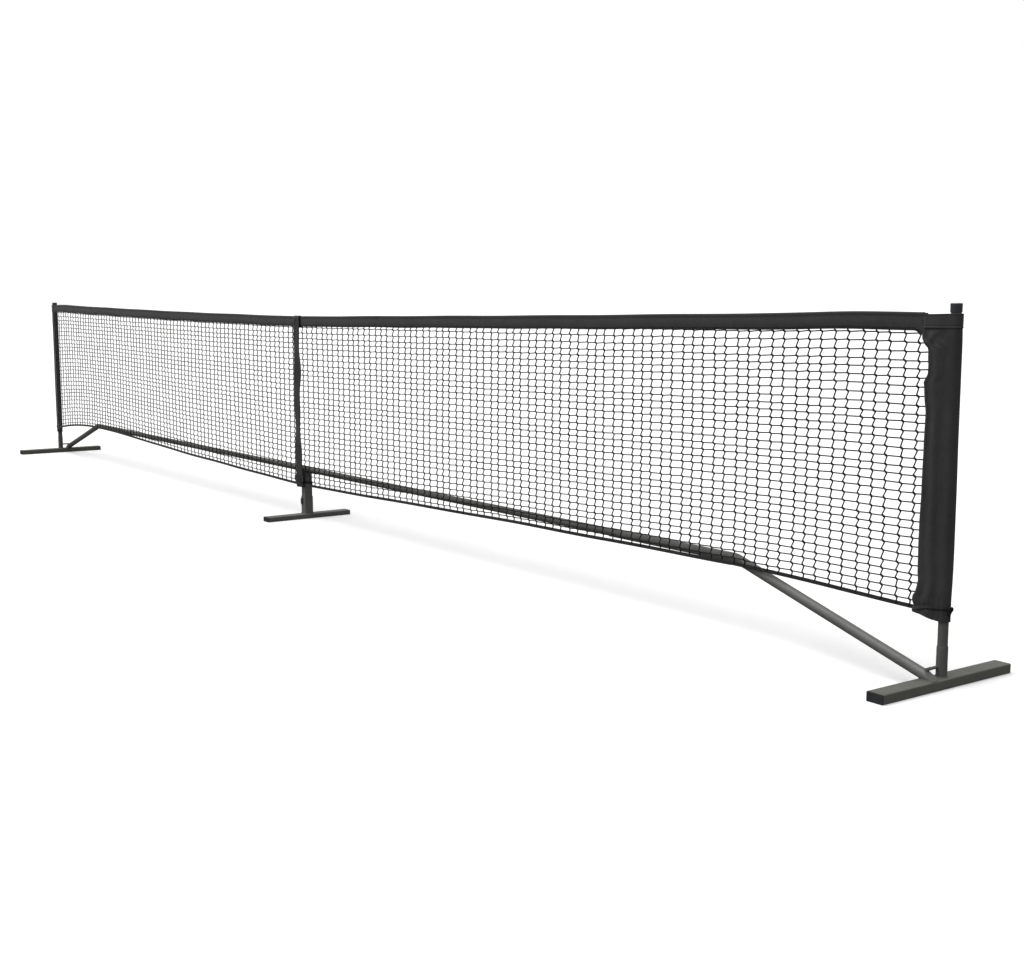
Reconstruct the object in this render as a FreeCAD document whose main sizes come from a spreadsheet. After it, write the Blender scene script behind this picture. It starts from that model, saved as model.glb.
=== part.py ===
import FreeCAD
import Part
import Sketcher
import ast
import math
import operator
import os

# Portable pickleball net: two end frames, a sectional crossbar, a centre support
# and a one-piece net. Millimetres. +X along the net, -Y towards the side that carries
# the net, +Z up. Origin on the floor under the middle of the net.
# The left frame and crossbar are the right ones turned half round about Z, while the
# net's left end is mirrored.

Vector = FreeCAD.Vector
Rotation = FreeCAD.Rotation
X_AXIS, Y_AXIS, Z_AXIS = Vector(1, 0, 0), Vector(0, 1, 0), Vector(0, 0, 1)

# ---------------------------------------------------------------- dimensions
# "outer" and "inner" are diameters or square widths unless noted.
SIZES = {
    "half_span": 3353.0,        # post axis to mid-net: posts stand 22 ft apart
    # end feet and their caps
    "foot_length": 496.0,
    "foot_width": 50.0,
    "foot_high": 25.0,
    "foot_wall": 1.6,
    "foot_round": 3.0,
    "flange_thick": 3.0,        # visible edge of a foot end cap
    "spigot_long": 14.0,
    "cap_fit": 0.2,             # end cap spigot is this much smaller than the tube
    # end posts
    "socket_outer": 28.0,       # welded stub that takes the end post
    "socket_inner": 25.6,
    "socket_high": 77.0,
    "post_outer": 25.4,
    "post_inner": 22.4,
    "post_start": 25.5,
    "post_long": 905.0,
    "cap_outer": 28.6,
    "cap_high": 22.0,
    "cap_depth": 15.5,
    "cap_start": 915.0,
    "plug_long": 16.0,
    # braces
    "bar_high": 215.0,          # height of the crossbar's axis
    "brace_outer": 28.6,
    "brace_inner": 25.6,
    "brace_start": 2080.0,      # open end of the brace that takes the crossbar
    "brace_bend": 2640.0,
    "brace_radius": 90.0,
    "brace_land": 3328.0,       # brace meets the foot's inner edge here
    "brace_drop": 175.5,
    "brace_kick": 50.0,         # sideways offset beside the post
    "brace_stop": 3374.0,
    "rod_outer": 8.0,
    "rod_high": 50.0,
    "rod_inset": 5.0,
    "rod_long": 41.0,
    "rod_past": 4.0,            # rod end beyond the brace's offset
    # crossbar
    "bar_outer": 25.4,
    "bar_inner": 22.6,
    "bar_gap": 3.0,             # crossbar end to mid-net inside the tee
    "bar_joint": 1060.0,        # where the two crossbar sections butt
    "joint_gap": 0.6,
    "bar_tail": 60.0,           # length of crossbar inside the brace
    "spigot_outer": 22.4,
    "spigot_inner": 19.4,
    "spigot_start": 980.0,
    "spigot_reach": 140.0,
    "button_outer": 8.0,
    "button_hole": 8.6,
    "button_proud": 3.6,
    "brace_button_at": 2110.0,
    "joint_button_at": 1090.0,
    "tee_button_at": 72.0,
    "tee_outer": 29.0,
    "tee_inner": 25.6,
    "tee_long": 190.0,
    # centre support
    "mid_foot_length": 400.0,
    "mid_foot_high": 20.0,
    "mid_socket_outer": 38.6,
    "mid_socket_inner": 35.2,
    "mid_socket_high": 77.0,
    "mid_post_outer": 35.0,
    "mid_post_wall": 1.5,
    "mid_post_lift": 0.5,       # post's foot above the centre foot
    "mid_post_short": 6.5,      # post length short of foot top to crossbar axis
    "mid_button_wide": 14.0,
    "mid_button_tall": 30.0,
    "mid_button_long": 12.0,
    "mid_button_proud": 5.0,
    "mid_button_room": 0.6,
    "mid_button_at": 75.0,
    "mid_button_side": -9.0,
    # net
    "net_plane": -27.0,         # y of the net
    "net_end_high": 914.4,      # 36 in at the posts
    "net_mid_high": 880.0,      # middle, pulled down by the strap
    "band_tall": 46.0,
    "band_thick": 8.0,
    "band_stop": 70.0,          # from post axis to where the corner wrap begins
    "band_gap": 0.5,
    "cable_outer": 5.0,
    "cable_room": 5.6,
    "cable_inset": 3.0,         # cable channel below the band's top edge
    "mesh_thick": 3.0,
    "mesh_gap": 5.0,            # mesh edge to sleeve flap
    "mesh_drop": 1.2,           # mesh below the band
    "seam_gap": 0.2,
    "sleeve_wide": 66.0,
    "sleeve_bore": 14.7,        # radius
    "sleeve_outer": 16.5,       # radius
    "sleeve_base": 154.0,
    "sleeve_taper": 187.0,
    "sleeve_top": 867.0,
    "wrap_outer": 17.5,         # radius
    "tie_thick": 3.5,
    "tie_tall": 5.0,
    "tie_lift": 5.0,            # tie above the sleeve's slanted corner
    "tie_gap": 0.3,
    "hem_tall": 14.0,
    "hem_thick": 6.0,
    "hem_mid_base": 143.0,
    "hem_knee_at": 2650.0,      # hem is lifted over the brace here
    "hem_knee_base": 197.0,
    "hem_end_base": 190.0,
    "cord_outer": 3.0,
    "cord_room": 3.6,
    "cord_inset": 2.0,          # cord channel above the hem's lower edge
    # centre strap
    "strap_wide": 56.0,
    "strap_thick": 1.6,
    "strap_front": 8.0,         # front face, from the net's plane towards -Y
    "strap_back": -21.0,        # y of the back face
    "strap_under": 5.0,         # below the hem
    "strap_over": 0.6,          # above the band
    "strap_flap": 6.0,          # back end at the top, below the band
    "strap_tail_high": 172.0,   # height of the back end at the bottom
    "slider_wide": 78.0,
    "slider_tall": 24.0,
    "slider_thick": 3.2,
    "slider_slot": 5.0,
    "slider_slot_room": 3.0,
    "slider_slot_at": 5.6,      # slot centre above or below the slider's centre
    "slider_at": 178.0,
    "anchor_room": 0.6,
    "anchor_tall": 15.0,
    "anchor_base": 147.0,
}

doc = FreeCAD.newDocument("portable_net")
sheet = doc.addObject("Spreadsheet::Sheet", "sizes")
sheet.Label = "sizes"
for row, (alias, value) in enumerate(SIZES.items(), 1):
    sheet.set("A%d" % row, alias.replace("_", " "))
    sheet.set("B%d" % row, repr(value))
    sheet.setAlias("B%d" % row, alias)
doc.recompute()


# ---------------------------------------------------------------- sizes as text
# A size is a number, or arithmetic on sheet values such as "{bar_high} / 2".
OPERATORS = {ast.Add: operator.add, ast.Sub: operator.sub,
             ast.Mult: operator.mul, ast.Div: operator.truediv}


def number(size):
    """Value of a size."""
    if isinstance(size, (int, float)):
        return float(size)

    def walk(node):
        if isinstance(node, ast.Constant):
            return node.value
        if isinstance(node, ast.Name):
            return SIZES[node.id]
        if isinstance(node, ast.BinOp):
            return OPERATORS[type(node.op)](walk(node.left), walk(node.right))
        raise ValueError(size)

    return float(walk(ast.parse(size.replace("{", "").replace("}", "")).body[0].value))


def bind(obj, prop, size):
    """Drives a property from the sheet when the size is text."""
    if isinstance(size, str):
        obj.setExpression(prop, size.replace("{", "sizes.").replace("}", ""))


def set_size(obj, prop, size):
    setattr(obj, prop, number(size))
    bind(obj, prop, size)


def signed(size, side):
    """A size text for the right (side 1), negated for the left (side -1)."""
    return size if side > 0 else "0 - (%s)" % size


def turn(side):
    return 0 if side > 0 else 180


def place(obj, x=0, y=0, z=0, axis=Z_AXIS, angle=0):
    base = Vector(number(x), number(y), number(z))
    obj.Placement = FreeCAD.Placement(base, Rotation(axis, angle))
    for coordinate, size in (("x", x), ("y", y), ("z", z)):
        bind(obj, "Placement.Base." + coordinate, size)


PARTS = []          # (file name, object)


def keep(name, obj):
    obj.Label = name
    PARTS.append((name, obj))


# ---------------------------------------------------------------- sketches
def make_body(name):
    body = doc.addObject("PartDesign::Body", name)
    body.Label = name
    return body


def make_sketch(body, name, role):
    sketch = body.newObject("Sketcher::SketchObject", name)
    plane = [f for f in body.Origin.OriginFeatures if f.Role == role][0]
    sketch.AttachmentSupport = [(plane, "")]
    sketch.MapMode = "FlatFace"
    return sketch


def dimension(sketch, kind, references, size):
    index = sketch.addConstraint(Sketcher.Constraint(kind, *references, number(size)))
    bind(sketch, "Constraints[%d]" % index, size)


def circle(sketch, diameter, x=0):
    """Circle on the sketch's horizontal axis."""
    radius = "(%s) / 2" % diameter
    shape = Part.Circle(Vector(number(x), 0, 0), Z_AXIS, number(radius))
    index = sketch.addGeometry(shape, False)
    dimension(sketch, "Radius", (index,), radius)
    if x == 0:
        sketch.addConstraint(Sketcher.Constraint("Coincident", index, 3, -1, 1))
    else:
        dimension(sketch, "DistanceX", (-1, 1, index, 3), x)
        dimension(sketch, "DistanceY", (-1, 1, index, 3), 0)


def line(sketch, start, end):
    return sketch.addGeometry(Part.LineSegment(start, end), False)


def polygon(sketch, points):
    """Closed outline; every corner is held by its two distances from the origin."""
    corners = [Vector(number(a), number(b), 0) for a, b in points]
    lines = [line(sketch, a, b) for a, b in zip(corners, corners[1:] + corners[:1])]
    for this, following in zip(lines, lines[1:] + lines[:1]):
        sketch.addConstraint(Sketcher.Constraint("Coincident", this, 2, following, 1))
    for index, (across, up) in zip(lines, points):
        dimension(sketch, "DistanceX", (-1, 1, index, 1), across)
        dimension(sketch, "DistanceY", (-1, 1, index, 1), up)


def rect(sketch, wide, tall, centre="0"):
    """Rectangle on the vertical axis, its centre at the given height."""
    left, right = "0 - (%s) / 2" % wide, "(%s) / 2" % wide
    low, high = "%s - (%s) / 2" % (centre, tall), "%s + (%s) / 2" % (centre, tall)
    polygon(sketch, [(left, low), (right, low), (right, high), (left, high)])


def slot_outline(sketch, wide, tall, x, y):
    """Upright stadium."""
    radius = number(wide) / 2
    x, y = number(x), number(y)
    half = number(tall) / 2 - radius
    line(sketch, Vector(x + radius, y - half, 0), Vector(x + radius, y + half, 0))
    sketch.addGeometry(Part.Arc(Vector(x + radius, y + half, 0), Vector(x, y + half + radius, 0),
                                Vector(x - radius, y + half, 0)), False)
    line(sketch, Vector(x - radius, y + half, 0), Vector(x - radius, y - half, 0))
    sketch.addGeometry(Part.Arc(Vector(x - radius, y - half, 0), Vector(x, y - half - radius, 0),
                                Vector(x + radius, y - half, 0)), False)


# ---------------------------------------------------------------- features
def extrude(kind, body, sketch, name, length, both, back):
    feature = body.newObject(kind, name)
    feature.Profile = sketch
    set_size(feature, "Length", length)
    if both:
        # guards against versions that have Midplane in place of SideType
        try:
            feature.SideType = "Symmetric"
        except Exception:
            feature.Midplane = True
    feature.Reversed = back
    body.Tip = feature
    return feature


def pad(body, sketch, name, length, both=False, back=False):
    return extrude("PartDesign::Pad", body, sketch, name, length, both, back)


def pocket(body, sketch, name, length, both=False, back=False):
    return extrude("PartDesign::Pocket", body, sketch, name, length, both, back)


def soften(body, base, name, size, wanted, kind="Fillet"):
    """Fillet or chamfer on the edges that the wanted test picks."""
    doc.recompute()
    names = ["Edge%d" % i for i, edge in enumerate(base.Shape.Edges, 1) if wanted(edge)]
    assert names, name
    feature = body.newObject("PartDesign::" + kind, name)
    feature.Base = (base, names)
    set_size(feature, "Radius" if kind == "Fillet" else "Size", size)
    body.Tip = feature
    return feature


def outer_corners(axis, width):
    """Test for straight edges along the axis at half the width from x = 0."""
    half = number(width) / 2

    def wanted(edge):
        if len(edge.Vertexes) != 2 or edge.Curve.TypeId != "Part::GeomLine":
            return False
        span = edge.Vertexes[1].Point - edge.Vertexes[0].Point
        return (abs(abs(span.dot(axis)) - span.Length) < 1e-6
                and abs(abs(edge.Vertexes[0].X) - half) < 1e-3)
    return wanted


def edges_at(coordinate, level):
    """Test for edges whose centre lies at the level."""
    return lambda edge: abs(getattr(edge.CenterOfMass, coordinate) - level) < 1e-3


def cylinder(name, diameter, height):
    shape = doc.addObject("Part::Cylinder", name)
    set_size(shape, "Radius", "(%s) / 2" % diameter)
    set_size(shape, "Height", height)
    return shape


def box(name, length, width, height):
    shape = doc.addObject("Part::Box", name)
    shape.Length, shape.Width, shape.Height = length, width, height
    return shape


def boolean(kind, name, base, tool):
    result = doc.addObject("Part::" + kind, name)
    result.Base, result.Tool = base, tool
    return result


def mirror(name, source, normal):
    result = doc.addObject("Part::Mirroring", name)
    result.Source = source
    result.Normal = normal
    result.Base = Vector(0, 0, 0)
    return result


def round_tube(name, role, outer, inner, length, both=False):
    """Body with one tube square to the given plane."""
    body = make_body(name)
    section = make_sketch(body, name + "_section", role)
    circle(section, outer)
    circle(section, inner)
    return body, pad(body, section, name + "_pad", length, both)


# ---------------------------------------------------------------- feet
def foot(name, at, length, high, side):
    """Flat rectangular tube along Y with rounded corners."""
    body = make_body(name)
    section = make_sketch(body, name + "_section", "XZ_Plane")
    rect(section, "{foot_width}", high)
    rect(section, "{foot_width} - 2 * {foot_wall}", high + " - 2 * {foot_wall}")
    tube = pad(body, section, name + "_pad", length + " - 2 * {flange_thick}", both=True)
    soften(body, tube, name + "_round", "{foot_round}", outer_corners(Y_AXIS, "{foot_width}"))
    place(body, at, 0, "(%s) / 2" % high, angle=turn(side))
    keep(name, body)


def foot_caps(name, at, length, high):
    """Pair of end caps: a rounded flange with a spigot inside the tube."""
    body = make_body(name + "_one")
    face = make_sketch(body, name + "_face", "XZ_Plane")
    rect(face, "{foot_width}", high)
    flange = pad(body, face, name + "_flange", "{flange_thick}")
    flange = soften(body, flange, name + "_corner", "{foot_round}",
                    outer_corners(Y_AXIS, "{foot_width}"))
    soften(body, flange, name + "_edge", 1.0, edges_at("y", -SIZES["flange_thick"]))
    inside = make_sketch(body, name + "_inside", "XZ_Plane")
    rect(inside, "{foot_width} - 2 * {foot_wall} - {cap_fit}",
         high + " - 2 * {foot_wall} - {cap_fit}")
    pad(body, inside, name + "_spigot", "{spigot_long}", back=True)
    place(body, at, "{flange_thick} - (%s) / 2" % length, "(%s) / 2" % high)
    pair = doc.addObject("Part::Compound", name)
    pair.Links = [body, mirror(name + "_other", body, Y_AXIS)]
    keep(name, pair)


# ---------------------------------------------------------------- end posts
def post_socket(name, at):
    body, tube = round_tube(name, "XY_Plane", "{socket_outer}", "{socket_inner}", "{socket_high}")
    soften(body, tube, name + "_soft", 0.45, edges_at("z", SIZES["socket_high"]), "Chamfer")
    place(body, at, 0, "{foot_high}")
    keep(name, body)


def end_post(name, at):
    body, _ = round_tube(name, "XY_Plane", "{post_outer}", "{post_inner}", "{post_long}")
    place(body, at, 0, "{post_start}")
    keep(name, body)


def post_cap(name, at):
    body = make_body(name)
    outline = make_sketch(body, name + "_round", "XY_Plane")
    circle(outline, "{cap_outer}")
    pad(body, outline, name + "_pad", "{cap_high}")
    inside = make_sketch(body, name + "_inside", "XY_Plane")
    circle(inside, "{post_outer}")
    bored = pocket(body, inside, name + "_bore", "{cap_depth}", back=True)
    soften(body, bored, name + "_edge", 2.5, edges_at("z", SIZES["cap_high"]))
    place(body, at, 0, "{cap_start}")
    keep(name, body)


def post_plug(name, at):
    plug = cylinder(name, "{post_inner}", "{plug_long}")
    place(plug, at, 0, "{post_start}")
    keep(name, plug)


# ---------------------------------------------------------------- braces
def brace_pipe(name):
    """Open bent tube: level run, one bend, then a straight fall past the foot's edge."""
    kick, drop, radius = SIZES["brace_kick"], SIZES["brace_drop"], SIZES["brace_radius"]
    run = SIZES["brace_land"] - SIZES["brace_bend"]
    level = SIZES["brace_bend"] - SIZES["brace_start"]
    fall = math.hypot(kick, drop)
    slope = math.atan2(fall, run)
    tangent = radius * math.tan(slope / 2)
    overrun = 1.06              # the fall is drawn longer and trimmed later
    body = make_body(name + "_tube")
    section = make_sketch(body, name + "_section", "YZ_Plane")
    circle(section, "{brace_outer}")
    circle(section, "{brace_inner}")

    path = make_sketch(body, name + "_path", "XZ_Plane")
    bend_start = Vector(level - tangent, 0, 0)
    bend_end = Vector(level + tangent * math.cos(slope), -tangent * math.sin(slope), 0)
    centre = Vector(level - tangent, -radius, 0)
    bend_mid = centre + Vector(math.sin(slope / 2), math.cos(slope / 2), 0) * radius
    level_line = line(path, Vector(0, 0, 0), bend_start)
    bend = path.addGeometry(Part.Arc(bend_start, bend_mid, bend_end), False)
    line(path, bend_end, Vector(level + run * overrun, -fall * overrun, 0))
    path.addConstraint(Sketcher.Constraint("Coincident", level_line, 1, -1, 1))
    path.addConstraint(Sketcher.Constraint("Horizontal", level_line))
    dimension(path, "Radius", (bend,), "{brace_radius}")
    doc.recompute()

    pipe = body.newObject("PartDesign::AdditivePipe", name + "_pipe")
    pipe.Profile = section
    pipe.Spine = (path, ["Edge1", "Edge2", "Edge3"])
    body.Tip = pipe
    # tilted so that the fall also runs sideways beside the post
    tilt = math.degrees(math.atan2(kick, drop))
    place(body, "{brace_start}", 0, "{bar_high}", X_AXIS, -tilt)
    return body


def brace(name, side):
    """Bent tube with a solid lower end, trimmed to the foot."""
    pipe = brace_pipe(name)
    kick, drop = SIZES["brace_kick"], SIZES["brace_drop"]
    heading = Vector(SIZES["brace_land"] - SIZES["brace_bend"], -kick, -drop)
    heading.normalize()
    landing = Vector(SIZES["brace_land"], -kick, SIZES["bar_high"] - drop)
    core = cylinder(name + "_core", "{brace_outer}", 60)
    core.Placement = FreeCAD.Placement(landing + heading * 10.0, Rotation(Z_AXIS, heading))
    closed = boolean("Fuse", name + "_closed", pipe, core)

    # everything below the foot's top face
    under = box(name + "_under", 400, 300, 80)
    place(under, "{brace_land} - 200", -200, "{foot_high} - 80")
    # slanted trim of the outer end
    beyond = box(name + "_beyond", 200, 300, 300)
    place(beyond, "{brace_stop} + 46", -200, "{foot_high} - 38.6", Y_AXIS, -50)
    hole = cylinder(name + "_hole", "{button_hole}", 40)
    place(hole, "{brace_button_at}", 0, "{bar_high}", X_AXIS, 90)
    tools = doc.addObject("Part::MultiFuse", name + "_tools")
    tools.Shapes = [under, beyond, hole]
    cut = boolean("Cut", name, closed, tools)
    place(cut, angle=turn(side))
    keep(name, cut)


def gusset(name, side):
    """Rod along Y between brace and post."""
    rod = cylinder(name, "{rod_outer}", "{rod_long}")
    place(rod, signed("{half_span} - {rod_inset}", side),
          signed("{brace_kick} + {rod_past}", -side), "{rod_high}", X_AXIS, -90 * side)
    keep(name, rod)


# ---------------------------------------------------------------- crossbar
THROUGH_WALL = 40.0     # depth of a cut from a tube's axis out through one wall


def button_hole(body, name, at, front=True):
    """Snap button hole in the wall facing -Y (front) or +Y of a tube along X."""
    outline = make_sketch(body, name, "XZ_Plane")
    circle(outline, "{button_hole}", at)
    pocket(body, outline, name + "_cut", THROUGH_WALL, back=front)


def crossbar_tube(name, outer, inner, start, length, holes, side):
    """Tube along X from start; holes are positions from mid-net."""
    body, _ = round_tube(name, "YZ_Plane", outer, inner, length)
    for index, hole in enumerate(holes):
        button_hole(body, "%s_hole%d" % (name, index), "%s - (%s)" % (hole, start))
    place(body, signed(start, side), 0, "{bar_high}", angle=turn(side))
    keep(name, body)


def snap_button(name, at, surface, depth, side):
    """Round push button with a domed end; its root lies depth from the tube's axis."""
    body = make_body(name)
    section = make_sketch(body, name + "_section", "XZ_Plane")
    circle(section, "{button_outer}")
    length = "(%s) / 2 + {button_proud} - %s" % (surface, depth)
    stem = pad(body, section, name + "_pad", length)
    soften(body, stem, name + "_dome", 2.2, edges_at("y", -number(length)))
    place(body, signed(at, side), -side * depth, "{bar_high}", angle=turn(side))
    keep(name, body)


def end_frame(side, tag):
    at = signed("{half_span}", side)
    foot("foot_tube_" + tag, at, "{foot_length}", "{foot_high}", side)
    foot_caps("foot_end_caps_" + tag, at, "{foot_length}", "{foot_high}")
    post_socket("post_socket_" + tag, at)
    end_post("end_post_" + tag, at)
    post_cap("post_cap_" + tag, at)
    post_plug("post_foot_plug_" + tag, at)
    brace("brace_tube_" + tag, side)
    gusset("gusset_rod_" + tag, side)


def half_crossbar(side, tag):
    crossbar_tube("outer_crossbar_" + tag, "{bar_outer}", "{bar_inner}",
                  "{bar_joint} + {joint_gap}",
                  "{brace_start} + {bar_tail} - {bar_joint} - {joint_gap}",
                  ["{joint_button_at}", "{brace_button_at}"], side)
    crossbar_tube("inner_crossbar_" + tag, "{bar_outer}", "{bar_inner}", "{bar_gap}",
                  "{bar_joint} - {bar_gap}", ["{tee_button_at}"], side)
    crossbar_tube("crossbar_spigot_" + tag, "{spigot_outer}", "{spigot_inner}",
                  "{spigot_start}", "{spigot_reach}", ["{joint_button_at}"], side)
    snap_button("brace_button_" + tag, "{brace_button_at}", "{brace_outer}", 8.6, side)
    snap_button("crossbar_button_" + tag, "{joint_button_at}", "{bar_outer}", 7.6, side)
    snap_button("tee_button_" + tag, "{tee_button_at}", "{tee_outer}", 8.6, side)


# ---------------------------------------------------------------- centre support
def square_tube(body_name, name, outer, inner, length, corner, base):
    """Upright square tube with a slot for the centre button in its -Y wall."""
    body = make_body(body_name)
    section = make_sketch(body, name + "_section", "XY_Plane")
    rect(section, outer, outer)
    rect(section, inner, inner)
    tube = pad(body, section, name + "_pad", length)
    soften(body, tube, name + "_round", corner, outer_corners(Z_AXIS, outer))
    slot = make_sketch(body, name + "_slot", "XZ_Plane")
    slot_outline(slot, "{mid_button_wide} + {mid_button_room}",
                 "{mid_button_tall} + {mid_button_room}",
                 "{mid_button_side}", "{mid_button_at} - (%s)" % base)
    pocket(body, slot, name + "_cut", THROUGH_WALL, back=True)
    place(body, 0, 0, base)
    return body


def centre_socket():
    keep("centre_socket", square_tube(
        "centre_socket", "centre_socket", "{mid_socket_outer}", "{mid_socket_inner}",
        "{mid_socket_high}", 2.5, "{mid_foot_high}"))


def centre_post():
    """Square post, its top coped to the tee."""
    tube = square_tube(
        "centre_post_tube", "centre_post", "{mid_post_outer}",
        "{mid_post_outer} - 2 * {mid_post_wall}",
        "{bar_high} - {mid_foot_high} - {mid_post_short}", 2.2,
        "{mid_foot_high} + {mid_post_lift}")
    cope = cylinder("centre_post_cope", "{tee_outer}", 200)
    place(cope, -100, 0, "{bar_high}", Y_AXIS, 90)
    keep("centre_post", boolean("Cut", "centre_post", tube, cope))


def centre_button():
    body = make_body("centre_button")
    outline = make_sketch(body, "centre_button_outline", "XZ_Plane")
    slot_outline(outline, "{mid_button_wide}", "{mid_button_tall}", 0, 0)
    stem = pad(body, outline, "centre_button_pad", "{mid_button_long}")
    soften(body, stem, "centre_button_soft", 1.8, edges_at("y", -SIZES["mid_button_long"]))
    place(body, "{mid_button_side}",
          "{mid_button_long} - {mid_socket_outer} / 2 - {mid_button_proud}", "{mid_button_at}")
    keep("centre_button", body)


def centre_tee():
    """Sleeve along X that joins the two inner crossbars."""
    body, _ = round_tube("centre_tee", "YZ_Plane", "{tee_outer}", "{tee_inner}",
                         "{tee_long}", both=True)
    button_hole(body, "centre_tee_hole_a", "{tee_button_at}", True)
    button_hole(body, "centre_tee_hole_b", "0 - {tee_button_at}", False)
    place(body, 0, 0, "{bar_high}")
    keep("centre_tee", body)


# ---------------------------------------------------------------- button springs
def extruded_face(points, depth):
    return Part.Face(Part.makePolygon(points + points[:1])).extrude(depth)


def tube_spring(at, room, side):
    """Leaf folded back on itself inside a crossbar tube; room is y of its far face."""
    width = 6.0
    # x from the button, y
    outline = [(-6, -3.6), (6, -3.6), (34, room - 2.4), (36, room - 1.2), (34, room),
               (0, room), (0, room - 0.8), (33, room - 0.8), (34.6, room - 1.4),
               (33.4, room - 1.8), (5.6, -2.8), (-6, -2.8)]
    low = SIZES["bar_high"] - width / 2
    leaf = extruded_face([Vector(at + x, y, low) for x, y in outline], Vector(0, 0, width))
    if side < 0:
        leaf.rotate(Vector(0, 0, 0), Z_AXIS, 180)
    return leaf


def centre_spring():
    """U-shaped leaf inside the centre post."""
    width = 8.0
    # y, z from the button's centre
    outline = [(-8.2, -10), (-8.2, 10), (15.6, 10), (15.6, -10), (14.8, -10), (14.8, 8.4),
               (-7.4, 8.4), (-7.4, -10)]
    left = SIZES["mid_button_side"] - width / 2
    return extruded_face([Vector(left, y, SIZES["mid_button_at"] + z) for y, z in outline],
                         Vector(width, 0, 0))


def button_springs():
    springs = []
    for side in (1, -1):
        for at, room in (("brace_button_at", 10.8), ("joint_button_at", 9.2),
                         ("tee_button_at", 10.8)):
            springs.append(tube_spring(SIZES[at], room, side))
    springs.append(centre_spring())
    feature = doc.addObject("Part::Feature", "button_springs")
    feature.Shape = Part.makeCompound(springs)
    keep("button_springs", feature)


# ---------------------------------------------------------------- net
BAND_REACH = "{half_span} - {band_stop} - {band_gap}"       # mid-net to the band's end
MESH_REACH = "{half_span} - {sleeve_wide} - {mesh_gap}"     # mid-net to the mesh's end


def band_edge(reach, shift="", past=""):
    """Band's sagging top edge, left to right. shift is added to z, past to the reach in x."""
    end = ("{net_mid_high} + ({net_end_high} - {net_mid_high}) * (%s) / {half_span}" % reach
           + shift)
    return [("0 - (%s)" % (reach + past), end), (0, "{net_mid_high}" + shift),
            (reach + past, end)]


def hem_edge(shift=""):
    """Hem's lower edge, left to right: low in the middle, lifted at the braces."""
    end, knee = "{hem_end_base}" + shift, "{hem_knee_base}" + shift
    return [("0 - (%s)" % MESH_REACH, end), ("0 - {hem_knee_at}", knee),
            (0, "{hem_mid_base}" + shift), ("{hem_knee_at}", knee), (MESH_REACH, end)]


def net_sheet(name, outline, thick, channel=None, room=None):
    """Flat piece in the net's plane, with a channel inside where one is given."""
    body = make_body(name)
    sketch = make_sketch(body, name + "_outline", "XZ_Plane")
    polygon(sketch, outline)
    pad(body, sketch, name + "_pad", thick, both=True)
    if channel:
        sketch = make_sketch(body, name + "_channel", "XZ_Plane")
        polygon(sketch, channel)
        pocket(body, sketch, name + "_void", room, both=True)
    place(body, 0, "{net_plane}", 0)
    keep(name, body)


def cord(name, diameter, edge):
    """Round line through the edge's points, with a round joint at each inner one."""
    radius = SIZES[diameter] / 2
    points = [Vector(number(x), SIZES["net_plane"], number(z)) for x, z in edge]
    shapes = [Part.makeCylinder(radius, (end - start).Length, start, end - start)
              for start, end in zip(points, points[1:])]
    shapes += [Part.makeSphere(radius, point) for point in points[1:-1]]
    feature = doc.addObject("Part::Feature", name)
    feature.Shape = shapes[0].fuse(shapes[1:]).removeSplitter()
    keep(name, feature)


def net_panel():
    net_sheet("top_band",
              band_edge(BAND_REACH, " - {band_tall}") + band_edge(BAND_REACH)[::-1],
              "{band_thick}",
              band_edge(BAND_REACH, " - {cable_inset} - {cable_room}", " + 1")
              + band_edge(BAND_REACH, " - {cable_inset}", " + 1")[::-1],
              "{cable_room}")
    cord("headline_cable", "cable_outer",
         band_edge(BAND_REACH, " - {cable_inset} - {cable_room} / 2"))
    net_sheet("net_mesh",
              hem_edge(" + {hem_tall} + {seam_gap}")
              + band_edge(MESH_REACH, " - {band_tall} - {mesh_drop}")[::-1],
              "{mesh_thick}")
    net_sheet("bottom_hem", hem_edge() + hem_edge(" + {hem_tall}")[::-1], "{hem_thick}",
              hem_edge(" + {cord_inset}") + hem_edge(" + {cord_inset} + {cord_room}")[::-1],
              "{cord_room}")
    cord("hem_cord", "cord_outer", hem_edge(" + {cord_inset} + {cord_room} / 2"))


# ---------------------------------------------------------------- net ends
def loop_flap(body, name, wide, grow):
    """Sketch of a flap from the net's plane that runs tangentially onto the round
    pocket about the post; grow offsets it outwards."""
    sketch = make_sketch(body, name, "XY_Plane")
    polygon(sketch, [
        ("0 - (%s)" % wide, "{net_plane} - {band_thick} / 2 - %s" % grow),
        ("4.1 + 0.25 * %s" % grow, "0 - 15.9 - 0.97 * %s" % grow),
        (4.0, 0),
        ("0 - 10.4 - 0.63 * %s" % grow, "12.7 + 0.77 * %s" % grow),
        ("0 - (%s)" % wide, "{net_plane} + {band_thick} / 2 + %s" % grow)])
    return sketch


def loop_round(body, name, radius):
    sketch = make_sketch(body, name, "XY_Plane")
    circle(sketch, "2 * (%s)" % radius)
    return sketch


def source_name(name, side):
    """Name of the right-hand shape, which the left-hand piece mirrors."""
    return name if side > 0 else name + "_right"


def keep_on_side(name, source, side):
    keep(name, source if side > 0 else mirror(name, source, X_AXIS))


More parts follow.
